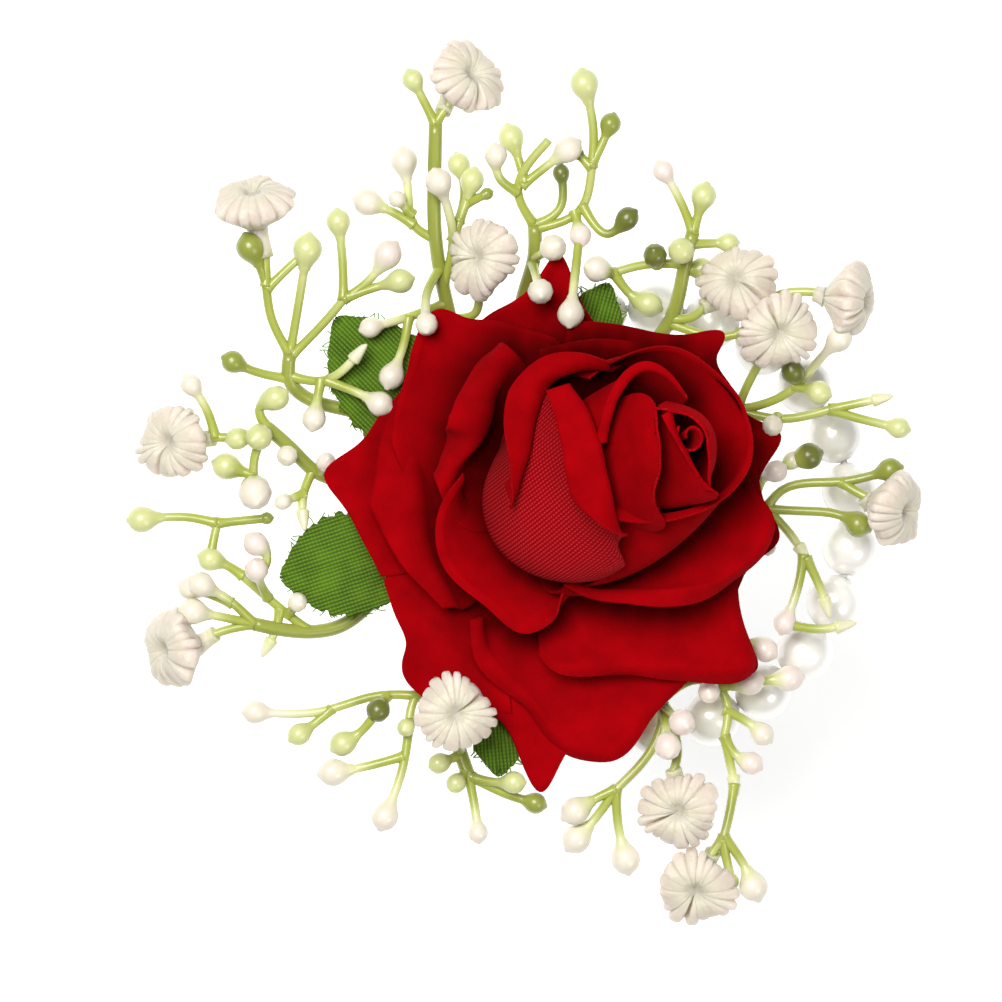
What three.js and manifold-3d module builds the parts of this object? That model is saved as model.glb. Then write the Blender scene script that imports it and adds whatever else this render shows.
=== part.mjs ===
// Wrist corsage: a flannel rose with cloth leaves and plastic sprigs on a felt pad,
// tied to an elastic bracelet of faux pearls. Millimetres, +Z up.
// The origin is the middle of the felt pad's underside.
import * as THREE from 'three';
import { mergeVertices } from 'three/addons/utils/BufferGeometryUtils.js';
import Module from 'manifold-3d';

const wasm = await Module();
wasm.setup();

// bracelet
const PEARL_D = 8;
const PEARL_COUNT = 20;
const PEARL_HOLE_R = 0.85;
const RING_R = 29.7;
const RING_X = 27.2;
const CORD_R = 0.5;
const CORD_Z = PEARL_D / 2;
const CHORD_HALF = 12;

// pad under the flower
const FELT_R = 11.2;
const FELT_T = 1.5;
const PUCK_R = 10.8;
const PUCK_T = 5;
const MOUND_R = 7;
const MOUND_TOP_R = 6.6;
const MOUND_H = 5.4;
const MOUND_X = 4;
const MOUND_Y = -1;
const GAP = 0.3;
const PUCK_TOP = FELT_T + PUCK_T;
const PAD_TOP = PUCK_TOP + FELT_T;
const MOUND_TOP = PAD_TOP + MOUND_H;

// rose: every height is built up from the top of the mound, the axis leans by a shear
const AXIS_X = 8;
const AXIS_Y = -2;
const AXIS_RISE = 0.6;
const AXIS_Z = MOUND_TOP + AXIS_RISE;
const LEAN_X = 0.7;
const LEAN_Y = 0.42;
const PETAL_T = 0.9;
const CORE_R = 1.5;
const CORE_SINK = 0.7;
const CORE_LOW = MOUND_TOP - CORE_SINK;
const CALYX_R = 6.5;
const CALYX_T = 1;
const CALYX_RISE = 2;
const CALYX_Z = MOUND_TOP + CALYX_RISE;
const FOOT_R = 5.4;
const FOOT_STEP = 0.5;
const COLLAR_LIP = 0.2;
const LAYER_RISE = 3.3;
const LAYER_Z = MOUND_TOP + LAYER_RISE;
const LAYER_STEP = 1.35;
const FLAP_T = 0.74;
const FLAP_LAP = 0.6;
const FOLD_GAP = 0.2;
const TIDY = 0.04;
const BUD_R = 5;
const BUD_BORE = 1.6;
const BUD_TURNS = 1.6;
const BUD_RISE = 32.6;
const BUD_TOP = MOUND_TOP + BUD_RISE;
const BUD_SHIFT = 2.2;
const BUD_SLOPE = 0.16;
const BUD_SWELL = 0.16;
const BUD_WAIST = 0.5;
const BUD_START = 150;

// leaves, sprigs and flower heads
const LEAF_T = 0.7;
const LEAF_NECK = 0.35;
const LEAF_DROOP = 0.12;
const LEAF_WIDEST = 0.66;
const LEAF_SWELL = 1.2;
const LEAF_ROUND = 1.7;
const LEAF_CLOSE = 0.72;
const LEAF_START = 5;
const LEAF_LIFT = 0.2;
const LEAF_RISE = 0.8;
const LEAF_Z = MOUND_TOP + LEAF_RISE;
const TRUNK_R = 1;
const TWIG_R = 0.75;
const ROOT_R = 4;
const ROOT_Z = 10.3;
const HEAD_R = 5.5;
const HEAD_LOBE = 0.09;
const HEAD_FLAT = 0.8;
const HEAD_DIMPLE_Z = 0.3;
const HEAD_DIMPLE_R = 0.2;
const NECK_TOP = 0.62;
const NECK_FLARE = 1.1;
const NECK_R = 1.9;
const SOCKET_GAP = 0.3;

// bud on a twig as [place along the twig, radius], both in bud radii
const EGG_NECK = -1.4;
const EGG = [[-0.35, 0.92], [0.35, 0.92], [1, 0.3]];

// grid counts
const TUBE_SIDES = 4;
const TRUNK_SIDES = 5;
const PEARL_SIDES = 8;
const PEARL_RINGS = 5;
const ROUND_SIDES = 20;
const PETAL_NV = 3;
const FLAP_NV = 4;
const HEAD_NU = 10;
const HEAD_NV = 5;
const BUD_NU = 16;
const BUD_NV = 3;
const LEAF_NU = 2;
const LEAF_NV = 9;
const CORD_STEPS = 40;

// petals of each layer, outermost first, all counter-clockwise seen from above: foot = two
// directions on the layer's collar in degrees, belly = radius and height or points, rim =
// points, curl = radius and turn in degrees at both ends and the middle of a folded rim,
// flap = cloth beyond that fold, folded = rim points it takes in where that isn't all of
// them. Heights are above the top of the mound.
const LAYERS = [
  {
    top: {
      foot: [50, 118],
      belly: [[16, 4.2]],
      rim: [[27, 21, 4.8], [20.3, 26.6, 5.2], [17.6, 31.4, 5.1], [15.5, 36, 4.2],
        [12.8, 32.6, 5.2], [6.2, 27.6, 5.2], [-1, 22, 4.8]],
    },
    right: {
      foot: [-18, 55],
      belly: [[16, 4.1]],
      rim: [[36, -6, 4.6], [41.6, 1.5, 4.4], [43.6, 7.4, 4.2], [45.3, 11.4, 3.8],
        [41.4, 13.6, 4.6], [37, 19, 5], [30, 22, 4.8]],
    },
    corner: {
      foot: [-62, -4],
      belly: [[16, 4.1]],
      rim: [[26, -22, 4.2], [35.5, -21.8, 4.2], [42.3, -20.5, 3.6], [40.4, -16, 4.4],
        [38.8, -11.5, 4.8], [40.8, -7, 4.8], [38, 0, 4.6]],
    },
    lowTip: {
      foot: [-118, -62],
      belly: [[16, 3.8]],
      rim: [[-1, -20, 4.1], [6.4, -26.4, 4.3], [10.6, -33, 4], [13.1, -36.9, 3.6],
        [15, -33.8, 4], [17.6, -30, 4.2], [24, -22, 4.4]],
    },
    lowLeft: {
      foot: [-168, -100],
      belly: [[14, 4.2]],
      rim: [[-8.4, -8, 4.9], [-7, -12.6, 4.9], [-5.5, -17, 4.7], [-5.7, -20.3, 4.4],
        [-3.4, -23.4, 4.3], [3, -26, 4.4], [9, -26.6, 4.5]],
    },
    left: {
      foot: [128, 206],
      belly: [[14, 4.4]],
      rim: [[-6, 17.6, 5.2], [-9.4, 13.4, 5.1], [-12.2, 9.8, 4.9], [-16.2, 6.1, 4.4],
        [-14.4, 2.8, 4.8], [-12, -1.4, 5.1], [-8.6, -8, 5.2]],
    },
    lowFront: {
      foot: [-118, -38],
      belly: [[12.5, 4]],
      rim: [[4.6, -13.6, 7.6], [5.8, -18.2, 7], [11.8, -24.8, 6.1],
        [16.6, -30.8, 5.2], [19.4, -31.8, 5], [22.2, -31.8, 5], [27, -27, 5.3],
        [31.4, -22.6, 5.5], [36, -18, 5.6]],
    },
  },
  {
    upperLeft: {
      foot: [70, 176],
      belly: [[14.5, 6.6]],
      rim: [[16, 24, 9], [6, 26.6, 8.8], [2.4, 27, 8.6], [-0.6, 27.7, 8], [-3.4, 24.2, 8.5],
        [-4.4, 20.6, 8.9], [-6.2, 16, 9], [-7.4, 10, 8.9]],
    },
    upperRight: {
      foot: [8, 84],
      belly: [[14.5, 6.6]],
      rim: [[41, 11, 9.2], [38.6, 18.2, 9], [36.8, 22.3, 8.7], [37.6, 24.7, 8.2],
        [33, 24.4, 8.8], [26, 25.6, 9.2], [17, 27, 9.2]],
    },
    side: {
      foot: [-46, 26],
      belly: [[14.5, 6.6]],
      rim: [[38.6, -12, 8.2], [42, -6, 8.6], [45, -2.9, 8.4], [43.2, 2, 9], [42.2, 7, 9.3],
        [40, 13, 9.4]],
    },
    front: {
      foot: [-86, -30],
      belly: [[11.5, 5.3]],
      rim: [[12.8, -17.2, 7.4], [14.6, -19.4, 8.2], [18.4, -20, 8.8], [26, -19.9, 8.8],
        [35.4, -20.4, 7.6], [40.8, -19.9, 7], [39.6, -15, 7.8], [38.8, -10.5, 8.6],
        [39.6, -5, 8.8]],
      curl: [1.8, 40, 90, 30],
      flap: [0.2, 1, 0.4],
    },
    left: {
      foot: [148, 262],
      belly: [[-0.6, 13.6, 5], [-0.8, 9, 5.4], [0, 4.4, 5.5], [0.4, 0, 5.4], [1, -4.6, 5.3],
        [2.8, -8.4, 5.2], [4.4, -11.2, 5.1]],
      rim: [[-3, 17.4, 6], [-4.2, 12, 6.8], [-3.6, 6, 7.5], [-2.8, -0.4, 7.6], [-1.9, -5, 7.4],
        [0.1, -9.4, 7], [1.6, -12.6, 6.6]],
      curl: [1.9, 60, 62, 70],
      flap: [1.4, 6, 0.2],
    },
  },
  {
    left: {
      foot: [176, 286],
      belly: [[11.2, 9.2]],
      rim: [[2.4, 5.4, 13.2], [0.4, 2.2, 13.2], [-0.4, -2.2, 13], [1, -6.6, 12.6],
        [6.8, -11.6, 12.2], [11.4, -14.6, 11.7]],
    },
    upperLeft: {
      foot: [96, 196],
      belly: [[12.4, 10]],
      rim: [[10.2, 22.2, 16.2], [7.4, 18, 16.4], [5.8, 13, 15.8], [3, 8.8, 15], [0.2, 5.8, 14],
        [-1, 3.8, 13.4]],
      curl: [1.9, 125, 128, 96],
      flap: [1.8, 3.4, 0.6],
    },
    back: {
      foot: [12, 96],
      belly: [[12.4, 10.2]],
      rim: [[39.4, 10, 15.6], [37.6, 16.4, 16], [33.4, 21, 16.2], [27, 23, 16.4],
        [20, 23.6, 16.4], [13, 22.4, 16]],
    },
    right: {
      foot: [-96, 20],
      belly: [[12, 10.6]],
      rim: [[17.6, -9.6, 13.2], [20, -9.9, 14], [24, -9.9, 14.6], [30, -9.8, 14.9],
        [36, -8.9, 14.7], [40.2, -6.8, 14.2], [43.6, -3, 13.8], [44.2, -0.6, 14],
        [42, 3.4, 14.6], [40, 9, 15.2]],
      curl: [0.8, 50, 90, 14],
      flap: [1, 1.6, 0.2],
    },
  },
  {
    cup: {
      foot: [-86, 112],
      belly: [[13.6, 16]],
      rim: [[23, 1, 23.6], [28.6, 0, 24.2], [33.4, 1, 24.5], [38, 3.8, 24.5],
        [40.9, 7.4, 24.3], [41.5, 11.6, 24.4], [40.1, 16.4, 24.5], [36, 20.5, 24.8],
        [31.2, 23, 24.8], [25, 22.4, 24.2], [19, 19.4, 23.4]],
    },
    roll: {
      foot: [70, 166],
      belly: [[14.6, 16]],
      rim: [[23.2, 20.6, 24.2], [18.6, 20.6, 24.6], [15, 19, 24.9], [12.8, 15.6, 24.8],
        [11.6, 11.4, 24.3], [10.4, 7, 23.2], [9, 2.6, 21.6]],
      curl: [1.7, 120, 150, 45],
      flap: [1.2, 2.4, 0],
    },
    tuck: {
      foot: [206, 296],
      belly: [[9.6, 11.6]],
      rim: [[7.8, -0.8, 14.8], [10, -4, 15], [13.8, -6.4, 15], [18.2, -6.8, 15.1],
        [21.8, -6, 15.2]],
    },
  },
  {
    front: {
      foot: [118, 306],
      belly: [[9.4, 12.4, 18.2], [6.8, 5, 17.6], [7.6, -1.6, 17], [11.6, -6.6, 16.6],
        [17.4, -8.6, 17], [22.6, -7.6, 17.8], [25.2, -5.6, 18.6]],
      rim: [[16.6, 18.4, 27], [18.8, 14.8, 28.2], [20.8, 9.6, 28.8], [22.2, 4.2, 28.3],
        [23.2, -1.2, 26.2], [23.6, -4.4, 23.6]],
      curl: [0.9, 150, 165, 150],
      flap: [2.6, 5.4, 3],
      folded: 4,
    },
    fold: {
      foot: [40, 176],
      belly: [[9.6, 19.6]],
      rim: [[33, 16.4, 29], [30.6, 19, 29.8], [27.2, 20.4, 30.2], [24.9, 19, 30.2],
        [22.8, 15.2, 29.8], [21.6, 10.6, 28.4]],
      curl: [0.6, 40, 120, 150],
      flap: [0, 0.6, 1],
    },
    panel: {
      foot: [166, 316],
      belly: [[22.4, 15.4, 25.2], [19.8, 10, 23.6], [20.4, 4, 22.6], [24, -0.6, 22.6],
        [28, -1.8, 22.6]],
      rim: [[28.4, 16, 32.6], [28.9, 11, 33.2], [28.8, 6.4, 32.6], [28.4, 2.6, 30.6],
        [29.4, 0.6, 28]],
    },
  },
];

// cloth leaves: tip and half width, each runs out from under the calyx
const LEAVES = {
  leaf_nw: { tip: [-15.6, 28.2], half: 7 },
  leaf_w: { tip: [-23.4, -8.2], half: 6.9 },
  leaf_n: { tip: [22.6, 33], half: 5.4 },
  leaf_s: { tip: [7.2, -36], half: 5 },
};

// sprigs: slot = direction of the root in the mound, trunk points [x, y, z], and twigs
// as [bud radius, end height, [[x, y], ...]]; a twig grows from the nearest stem
const SPRIGS = {
  sprig_nne: {
    slot: 72,
    trunk: [[8, 16, 10.3], [11, 32.5, 12.2], [12.2, 37, 14.5], [12.2, 41, 15.6]],
    twigs: [
      [0, 18.5, [[9.9, 45.6], [14, 52.6]]],
      [1.9, 18.5, [[10.4, 46.4], [14.5, 49.7], [17, 51.6]]],
      [1.6, 19.5, [[9.7, 45.8], [7.3, 47.6], [6.8, 50.8]]],
      [1.8, 17, [[10.6, 47], [9.9, 50.4], [8.9, 53.4]]],
      [1.2, 16.4, [[12.3, 40.8], [15.6, 43.2], [15.9, 48.4]]],
      [0, 17.5, [[12.3, 40.7], [18.6, 43.2], [20.2, 49]]],
      [2, 19, [[20.2, 49], [20.4, 54], [19.1, 60.8]]],
      [1.5, 18, [[20.2, 49.6], [21.6, 52.3], [22.8, 55.2]]],
      [0.9, 17.5, [[20.1, 48.8], [18.2, 51]]],
      [1.6, 18.5, [[18.8, 43.6], [22.6, 39.8], [25.2, 42]]],
      [1.9, 20, [[12.3, 36.6], [14.8, 37.8]]],
      [1.8, 23, [[11.6, 36], [13, 31.6]]],
      [1.6, 18, [[18.2, 43], [18.6, 39.5]]],
      [1.9, 22.6, [[18.7, 40], [17.2, 28.4]]],
    ],
  },
  sprig_n: {
    slot: 108,
    trunk: [[2.4, 16, 10.3], [0.4, 28, 12.6], [-0.9, 34, 15], [-1.8, 42, 18],
      [-1.7, 50, 19.5], [-1.6, 55, 20.5]],
    twigs: [
      [1.5, 21.5, [[-1.6, 55], [-4.8, 61.2]]],
      [0, 20.6, [[-1.6, 55], [-0.2, 57.2], [0.4, 58]]],
      [1.9, 18.5, [[-1.5, 38.6], [-4.6, 41], [-5.4, 45], [-6, 50]]],
      [1.9, 18, [[-4.8, 41.2], [-8, 43], [-11.2, 44.2]]],
      [1.2, 19.5, [[-5.2, 42.6], [-7, 44.6]]],
      [1.9, 22.5, [[-0.4, 32.5], [0.8, 39.5], [0, 43.6], [-1.2, 47]]],
      [1.7, 18, [[0.8, 39], [2.6, 44], [3.5, 47.4]]],
      [1.6, 16, [[1.6, 41.6], [2.4, 46], [1.6, 49.6]]],
      [0.9, 17, [[2.6, 44], [5.6, 45.4]]],
      [1.5, 16.6, [[0, 30.4], [-4.6, 28.5], [-10.8, 26.7]]],
      [1.8, 17.6, [[-5, 28.3], [-6, 24.6], [-7.8, 19.8]]],
      [1.6, 24.2, [[-1.2, 35], [-2.8, 31.4], [-2.8, 27]]],
      [0, 15.2, [[0.5, 28], [3.9, 28.8], [4.5, 31.6]]],
    ],
  },
  sprig_ne: {
    slot: 36,
    trunk: [[17, 12, 10.3], [29, 24.6, 11.4], [31.5, 28.5, 13], [33.2, 35.6, 15.6],
      [34.3, 40, 17]],
    twigs: [
      [1.5, 18.6, [[34.3, 40], [32.4, 44.6], [30.1, 48.6]]],
      [1.8, 18, [[34.3, 40], [34.9, 42], [35.8, 45.2]]],
      [0, 16.2, [[33.2, 35.8], [27, 35.4], [22.8, 34.2]]],
      [1.9, 18, [[23.4, 34.4], [20.8, 34.9]]],
      [1.7, 18.4, [[29.4, 35.6], [29, 36.8]]],
      [1.9, 19.6, [[33.4, 36.2], [32.6, 37.4]]],
      [1.9, 15.6, [[23.2, 34], [26.4, 30.8], [28.2, 30]]],
      [1.4, 15.6, [[33.8, 38.2], [39.4, 38.6]]],
      [1.6, 14.4, [[33.1, 34.8], [35.6, 35]]],
      [0, 15, [[31.4, 28], [34.6, 28.4], [36.2, 30]]],
      [0, 15.6, [[31.2, 27.6], [41.4, 26.4], [45, 30.6], [52.4, 31.6]]],
    ],
  },
  sprig_ene: {
    slot: 0,
    trunk: [[20, 6.5, 10.3], [33, 12, 10.8], [40.5, 15.2, 12.6]],
    twigs: [
      [0, 17, [[40.6, 15.3], [42.4, 19.6], [43.8, 22.2]]],
      [1.8, 18, [[40.6, 15.3], [47.2, 17.4], [50.6, 20.6], [53, 23.4], [54.8, 25.2]]],
      [1.7, 17.6, [[49, 19], [48.2, 20.6]]],
      [1.7, 17, [[48.6, 18.2], [52, 17.6]]],
      [0, 15.5, [[40.5, 14.8], [47, 14], [53.4, 15.3]]],
      [1.1, 16.5, [[53.4, 15.3], [61.4, 17]]],
      [1.5, 15.5, [[53.4, 15.2], [57, 14.2], [63.2, 12.7]]],
      [1.5, 17.4, [[46.6, 14.2], [45.4, 13]]],
    ],
  },
  sprig_e: {
    slot: -36,
    trunk: [[20, -2, 10.3], [33, 0.6, 10.5], [42.5, 2, 11.8], [44.6, 1.4, 12.6]],
    twigs: [
      [1.7, 15, [[44.6, 1.6], [46.4, 3.7], [55, 5.2], [62, 6.9]]],
      [0, 15, [[55, 5.1], [57.6, 3.6], [59.4, 2.7]]],
      [1.8, 13.6, [[44.6, 1.4], [50, 1.1], [55.3, 0.4], [57.6, -0.8]]],
      [0.9, 13, [[44.6, 1.2], [47.4, -1.4], [50.2, -5.4]]],
      [1.6, 15.5, [[43, 2.2], [44.6, 6], [46, 6.7]]],
      [1.3, 14.6, [[46.2, 7], [48.3, 8.2]]],
      [1.9, 15, [[48, 7.8], [50.6, 8.8]]],
      [1.6, 13, [[50, -5], [49.2, -9], [47.2, -14.6]]],
      [1.3, 12.6, [[50.2, -5.4], [52.5, -10.5], [53.3, -13]]],
      [1.1, 13, [[47.6, -14.4], [52, -15.4], [56.4, -14.7]]],
      [1.1, 13.6, [[45, 0.6], [44.9, -4]]],
    ],
  },
  sprig_se: {
    slot: -72,
    trunk: [[14, -13, 10.3], [24, -21, 10.8], [30.4, -26.4, 12.4]],
    twigs: [
      [0, 14, [[30.4, -26.6], [29.4, -30.6], [23.6, -37.8]]],
      [2, 13, [[23.6, -37.8], [23.8, -42], [25, -47.8]]],
      [2, 13, [[23.6, -37.8], [20.6, -42], [18, -44.9]]],
      [2, 14.4, [[23.4, -38], [20.6, -39.2], [17.8, -40.9]]],
      [1.9, 17.4, [[30.5, -26.8], [30.8, -31.8]]],
      [1.9, 18, [[30.2, -26.2], [32.8, -28.4]]],
      [0, 15, [[30.4, -27.6], [32.2, -31.8], [31.4, -36]]],
      [0, 13, [[29.8, -25.8], [36, -22.6], [38.6, -24.4], [38.8, -30.4]]],
      [1.6, 13.5, [[38.8, -30.4], [40.4, -33], [42.6, -34.2]]],
      [1, 12.6, [[38.8, -30.4], [40.4, -38]]],
      [1.6, 12.6, [[38.8, -26.6], [42.8, -29], [44.2, -30.2]]],
      [0, 13.6, [[40.2, -36.8], [39.4, -41.6], [38.7, -44.4]]],
      [0, 13.6, [[38.7, -44.4], [36.6, -47.4]]],
      [2, 13, [[38.8, -44.4], [42, -49.4], [42.9, -51.6]]],
      [1.1, 12.4, [[38.8, -44.8], [39.8, -50.8]]],
      [1.6, 15, [[36.2, -22.8], [36.6, -24.2]]],
      [1.9, 13.6, [[38.2, -23.2], [42.4, -22.8]]],
      [1.9, 12.4, [[42, -22.6], [48, -22.3]]],
      [1.7, 13, [[40.4, -22.8], [43, -17.4], [44.6, -18.4]]],
    ],
  },
  sprig_s: {
    slot: -108,
    trunk: [[2, -16, 10.3], [0.6, -26, 11], [1.8, -32.6, 12.2], [3, -36, 13]],
    twigs: [
      [1.4, 13.4, [[3.2, -36.2], [4, -41.4], [4.3, -44]]],
      [1.6, 15.2, [[3.2, -36], [6.6, -36.8], [9.4, -36.8]]],
      [1.5, 13, [[3.4, -36.4], [8, -38.4], [12.4, -39.8]]],
      [1.5, 14.2, [[2, -33], [-1.2, -34.2]]],
      [1.4, 14.6, [[2.6, -35], [1.2, -37]]],
      [0, 12.2, [[1, -24], [-4.4, -25], [-5.4, -29]]],
      [1.9, 12.6, [[-5.4, -29], [-6.2, -34.6], [-8.8, -41.8]]],
      [2, 12.2, [[-6, -33.2], [-13, -35], [-16.1, -35.5]]],
      [1.3, 14, [[-5.2, -28.4], [-5.8, -29.2]]],
      [1.7, 12.4, [[-4, -24.6], [-10, -24.8], [-17, -26.8], [-27, -27]]],
      [1.6, 12.6, [[-16, -26.6], [-18.8, -28.8], [-20.8, -30.2]]],
      [1.7, 14, [[-8.6, -24.8], [-9.7, -26.8]]],
      [1.8, 12.6, [[-9.6, -26.8], [-12.6, -30.2], [-14.7, -31.5]]],
      [0, 20, [[1.8, -32.6], [1.3, -30.9]]],
    ],
  },
  sprig_w: {
    slot: -144,
    trunk: [[-8, -9, 10.3], [-15, -15, 10.6], [-20, -15.8, 11.6], [-27, -14.7, 13.4]],
    twigs: [
      [0, 14, [[-27, -14.7], [-31.4, -15.7], [-33.4, -16.4]]],
      [1.9, 16, [[-27.2, -14.6], [-31, -13.8], [-35.6, -12.9]]],
      [1.8, 17.6, [[-27, -14.6], [-30.4, -11.4], [-34.4, -9.1]]],
      [1.7, 14.4, [[-30, -11.8], [-33, -10.6], [-36, -9.6]]],
      [0, 13.4, [[-19.6, -15.6], [-24, -12], [-28.6, -8]]],
      [1.7, 14.4, [[-28.6, -8], [-31, -6.4], [-33.2, -5.6]]],
      [0, 14.2, [[-33, -5.2], [-32.2, -0.6]]],
      [1.9, 14.6, [[-32, -0.4], [-36, 0.2], [-42.8, -0.1]]],
      [0.9, 13.8, [[-32.1, -0.2], [-25.2, 0.1]]],
      [0.9, 12.4, [[-23.4, -12.6], [-24, -15.4], [-25.6, -18.6]]],
      [1.4, 15, [[-22.4, -13.4], [-20.9, -11.6]]],
      [1.7, 17.6, [[-25.2, -11], [-26.2, -8.6], [-26.6, -7]]],
      [1.7, 17.8, [[-26.2, -8], [-25.2, -5], [-26.8, -3.4]]],
    ],
  },
  sprig_wnw: {
    slot: 180,
    trunk: [[-6, 1.6, 10.3], [-14, 5, 10.7], [-18.4, 6.6, 12], [-21.4, 9.4, 13.4],
      [-25.2, 12.8, 14.6]],
    twigs: [
      [1.8, 16.4, [[-25.2, 12.8], [-26.2, 15.4], [-23.8, 16.9]]],
      [1.9, 17.2, [[-24.8, 12.4], [-26.3, 11.4]]],
      [1.6, 15.6, [[-25.6, 12.4], [-29.4, 11.2]]],
      [1.5, 16.6, [[-21.6, 9.6], [-22.4, 8.8]]],
      [0, 15, [[-25.6, 11.6], [-27, 8], [-27, 5.4]]],
      [2.4, 17.4, [[-27, 5.8], [-26.8, 3.6]]],
      [1.9, 14.6, [[-27.2, 6], [-31, 7.4]]],
      [0, 15, [[-29.6, 11.4], [-32.4, 11.4], [-33.4, 11.3]]],
      [1.5, 16.6, [[-32.4, 11.6], [-33.4, 14.8], [-35.8, 18.8]]],
      [1.1, 14.8, [[-18.8, 7], [-20.2, 3], [-20, -0.8]]],
      [1.2, 15.2, [[-20.3, 3.4], [-23, 2.4]]],
      [1.4, 15.6, [[-17.8, 6.4], [-16.9, 8]]],
    ],
  },
  sprig_nw: {
    slot: 144,
    trunk: [[-5, 9.4, 10.3], [-13, 15, 10.7], [-19.4, 16.8, 11.9], [-22.1, 19.6, 13.6],
      [-22, 23, 14.4]],
    twigs: [
      [2, 17.6, [[-22.1, 23], [-24.8, 29], [-25.4, 33], [-27.5, 38]]],
      [0, 17, [[-25.3, 32.6], [-25.3, 36], [-25.5, 38.6]]],
      [0, 16.4, [[-25.1, 31.8], [-22, 35.2], [-20, 37]]],
      [2.1, 17, [[-22, 23], [-20.6, 31], [-19.5, 37.8]]],
      [0, 16.6, [[-21.9, 22.6], [-16, 28.8], [-14.5, 30.6]]],
      [1.7, 17.4, [[-14.5, 30.6], [-14.6, 36], [-15.2, 41.6]]],
      [2, 18, [[-14.5, 30.6], [-11, 33.2], [-8.2, 37]]],
      [1.8, 18, [[-14, 30.8], [-9, 32.6], [-6.4, 33.2]]],
      [1.6, 15.6, [[-22, 19.4], [-27.4, 20.8], [-30, 22]]],
      [0.9, 18, [[-21.9, 20], [-17, 19.4], [-11.8, 23.8]]],
      [1.7, 17, [[-17.8, 19.4], [-18.6, 13.9]]],
      [1.8, 18, [[-17, 19.6], [-12, 17.4], [-9.2, 16]]],
    ],
  },
};

// flower heads: middle of the head, then the point the neck comes from
const HEADS = [
  [[2.8, 61.4, 21.4], [-0.6, 56.6, 20.5]],
  [[-27, 44.2, 19], [-25.3, 36.4, 17]],
  [[4.9, 36.3, 20.4], [4.5, 31, 15]],
  [[-38.3, 10.8, 16.2], [-32.6, 11.3, 15]],
  [[-38.3, -18.2, 15], [-32.4, -16, 14]],
  [[1.1, -26.9, 25.4], [1.3, -31.2, 19.4]],
  [[40.6, 33, 17], [35.6, 29.6, 15]],
  [[46.1, 26.2, 22.6], [43.4, 21.6, 16.6]],
  [[56.6, 30.6, 17], [51.4, 31.5, 15.4]],
  [[62.6, 1.4, 16.6], [58.2, 3.2, 15]],
  [[32.4, -40.6, 17.4], [31.6, -35, 15]],
  [[34.8, -51.6, 14.4], [37.2, -46.6, 13.6]],
];

const RAD = Math.PI / 180;
const TAU = 2 * Math.PI;

// three.js geometry to a manifold solid
function solid(geometry) {
  const bare = geometry.clone();
  bare.deleteAttribute('normal');
  bare.deleteAttribute('uv');
  const merged = mergeVertices(bare, 1e-4);
  return new wasm.Manifold(new wasm.Mesh({
    numProp: 3,
    vertProperties: new Float32Array(merged.attributes.position.array),
    triVerts: new Uint32Array(merged.index.array),
  }));
}

// manifold solid to three.js geometry
function geometryOf(manifold) {
  const mesh = manifold.getMesh();
  const geometry = new THREE.BufferGeometry();
  geometry.setAttribute('position', new THREE.BufferAttribute(mesh.vertProperties, 3));
  geometry.setIndex(new THREE.BufferAttribute(mesh.triVerts, 1));
  return geometry;
}

// the biggest connected body of a solid, so a trimmed piece stays one body
function biggest(manifold) {
  const bodies = manifold.decompose();
  return bodies.reduce((a, b) => (a.volume() > b.volume() ? a : b));
}

// closed BufferGeometry from points and triangles
function shell(points, triangles) {
  const geometry = new THREE.BufferGeometry();
  const flat = points.flatMap((p) => [p.x, p.y, p.z]);
  geometry.setAttribute('position', new THREE.Float32BufferAttribute(flat, 3));
  geometry.setIndex(triangles);
  return geometry;
}

function flip(triangles) {
  const out = [];
  for (let i = 0; i < triangles.length; i += 3) {
    out.push(triangles[i], triangles[i + 2], triangles[i + 1]);
  }
  return out;
}

// closed solid from points and triangles, turned outward if it is inside out
function outward(points, triangles) {
  let volume = 0;
  for (let i = 0; i < triangles.length; i += 3) {
    const a = points[triangles[i]];
    const b = points[triangles[i + 1]];
    const c = points[triangles[i + 2]];
    volume += a.dot(new THREE.Vector3().crossVectors(b, c));
  }
  return solid(shell(points, volume < 0 ? flip(triangles) : triangles));
}

// tube through points with a radius at each, closed by a point at both ends
function tube(path, radii, sides = TUBE_SIDES) {
  const points = [];
  const triangles = [];
  const n = path.length;
  let side = new THREE.Vector3(0, 0, 1);
  path.forEach((p, i) => {
    const ahead = path[Math.min(i + 1, n - 1)];
    const behind = path[Math.max(i - 1, 0)];
    const along = new THREE.Vector3().subVectors(ahead, behind).normalize();
    side = side.clone().addScaledVector(along, -side.dot(along)).normalize();
    const other = new THREE.Vector3().crossVectors(along, side);
    for (let k = 0; k < sides; k += 1) {
      const turn = (TAU * k) / sides;
      const q = p.clone().addScaledVector(side, radii[i] * Math.cos(turn));
      points.push(q.addScaledVector(other, radii[i] * Math.sin(turn)));
    }
  });
  for (let i = 0; i + 1 < n; i += 1) {
    for (let k = 0; k < sides; k += 1) {
      const a = i * sides + k;
      const b = i * sides + ((k + 1) % sides);
      triangles.push(a, b, a + sides, b, b + sides, a + sides);
    }
  }
  for (let k = 1; k + 1 < sides; k += 1) {
    const last = (n - 1) * sides;
    triangles.push(0, k + 1, k, last, last + k, last + k + 1);
  }
  return outward(points, triangles);
}

// path with a bud: the tube swells into an egg at its end
function budded(path, stemR, budR) {
  const centre = path[path.length - 1];
  const before = path[path.length - 2];
  const along = new THREE.Vector3().subVectors(centre, before).normalize();
  const kept = path.slice(0, -1);
  const at = (f) => centre.clone().addScaledVector(along, f * budR);
  const room = before.distanceTo(centre) > -EGG_NECK * budR + GAP;
  const egg = room ? [[EGG_NECK, stemR / budR]].concat(EGG) : EGG;
  return {
    path: kept.concat(egg.map((e) => at(e[0]))),
    radii: kept.map(() => stemR).concat(egg.map((e) => e[1] * budR)),
  };
}

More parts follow.
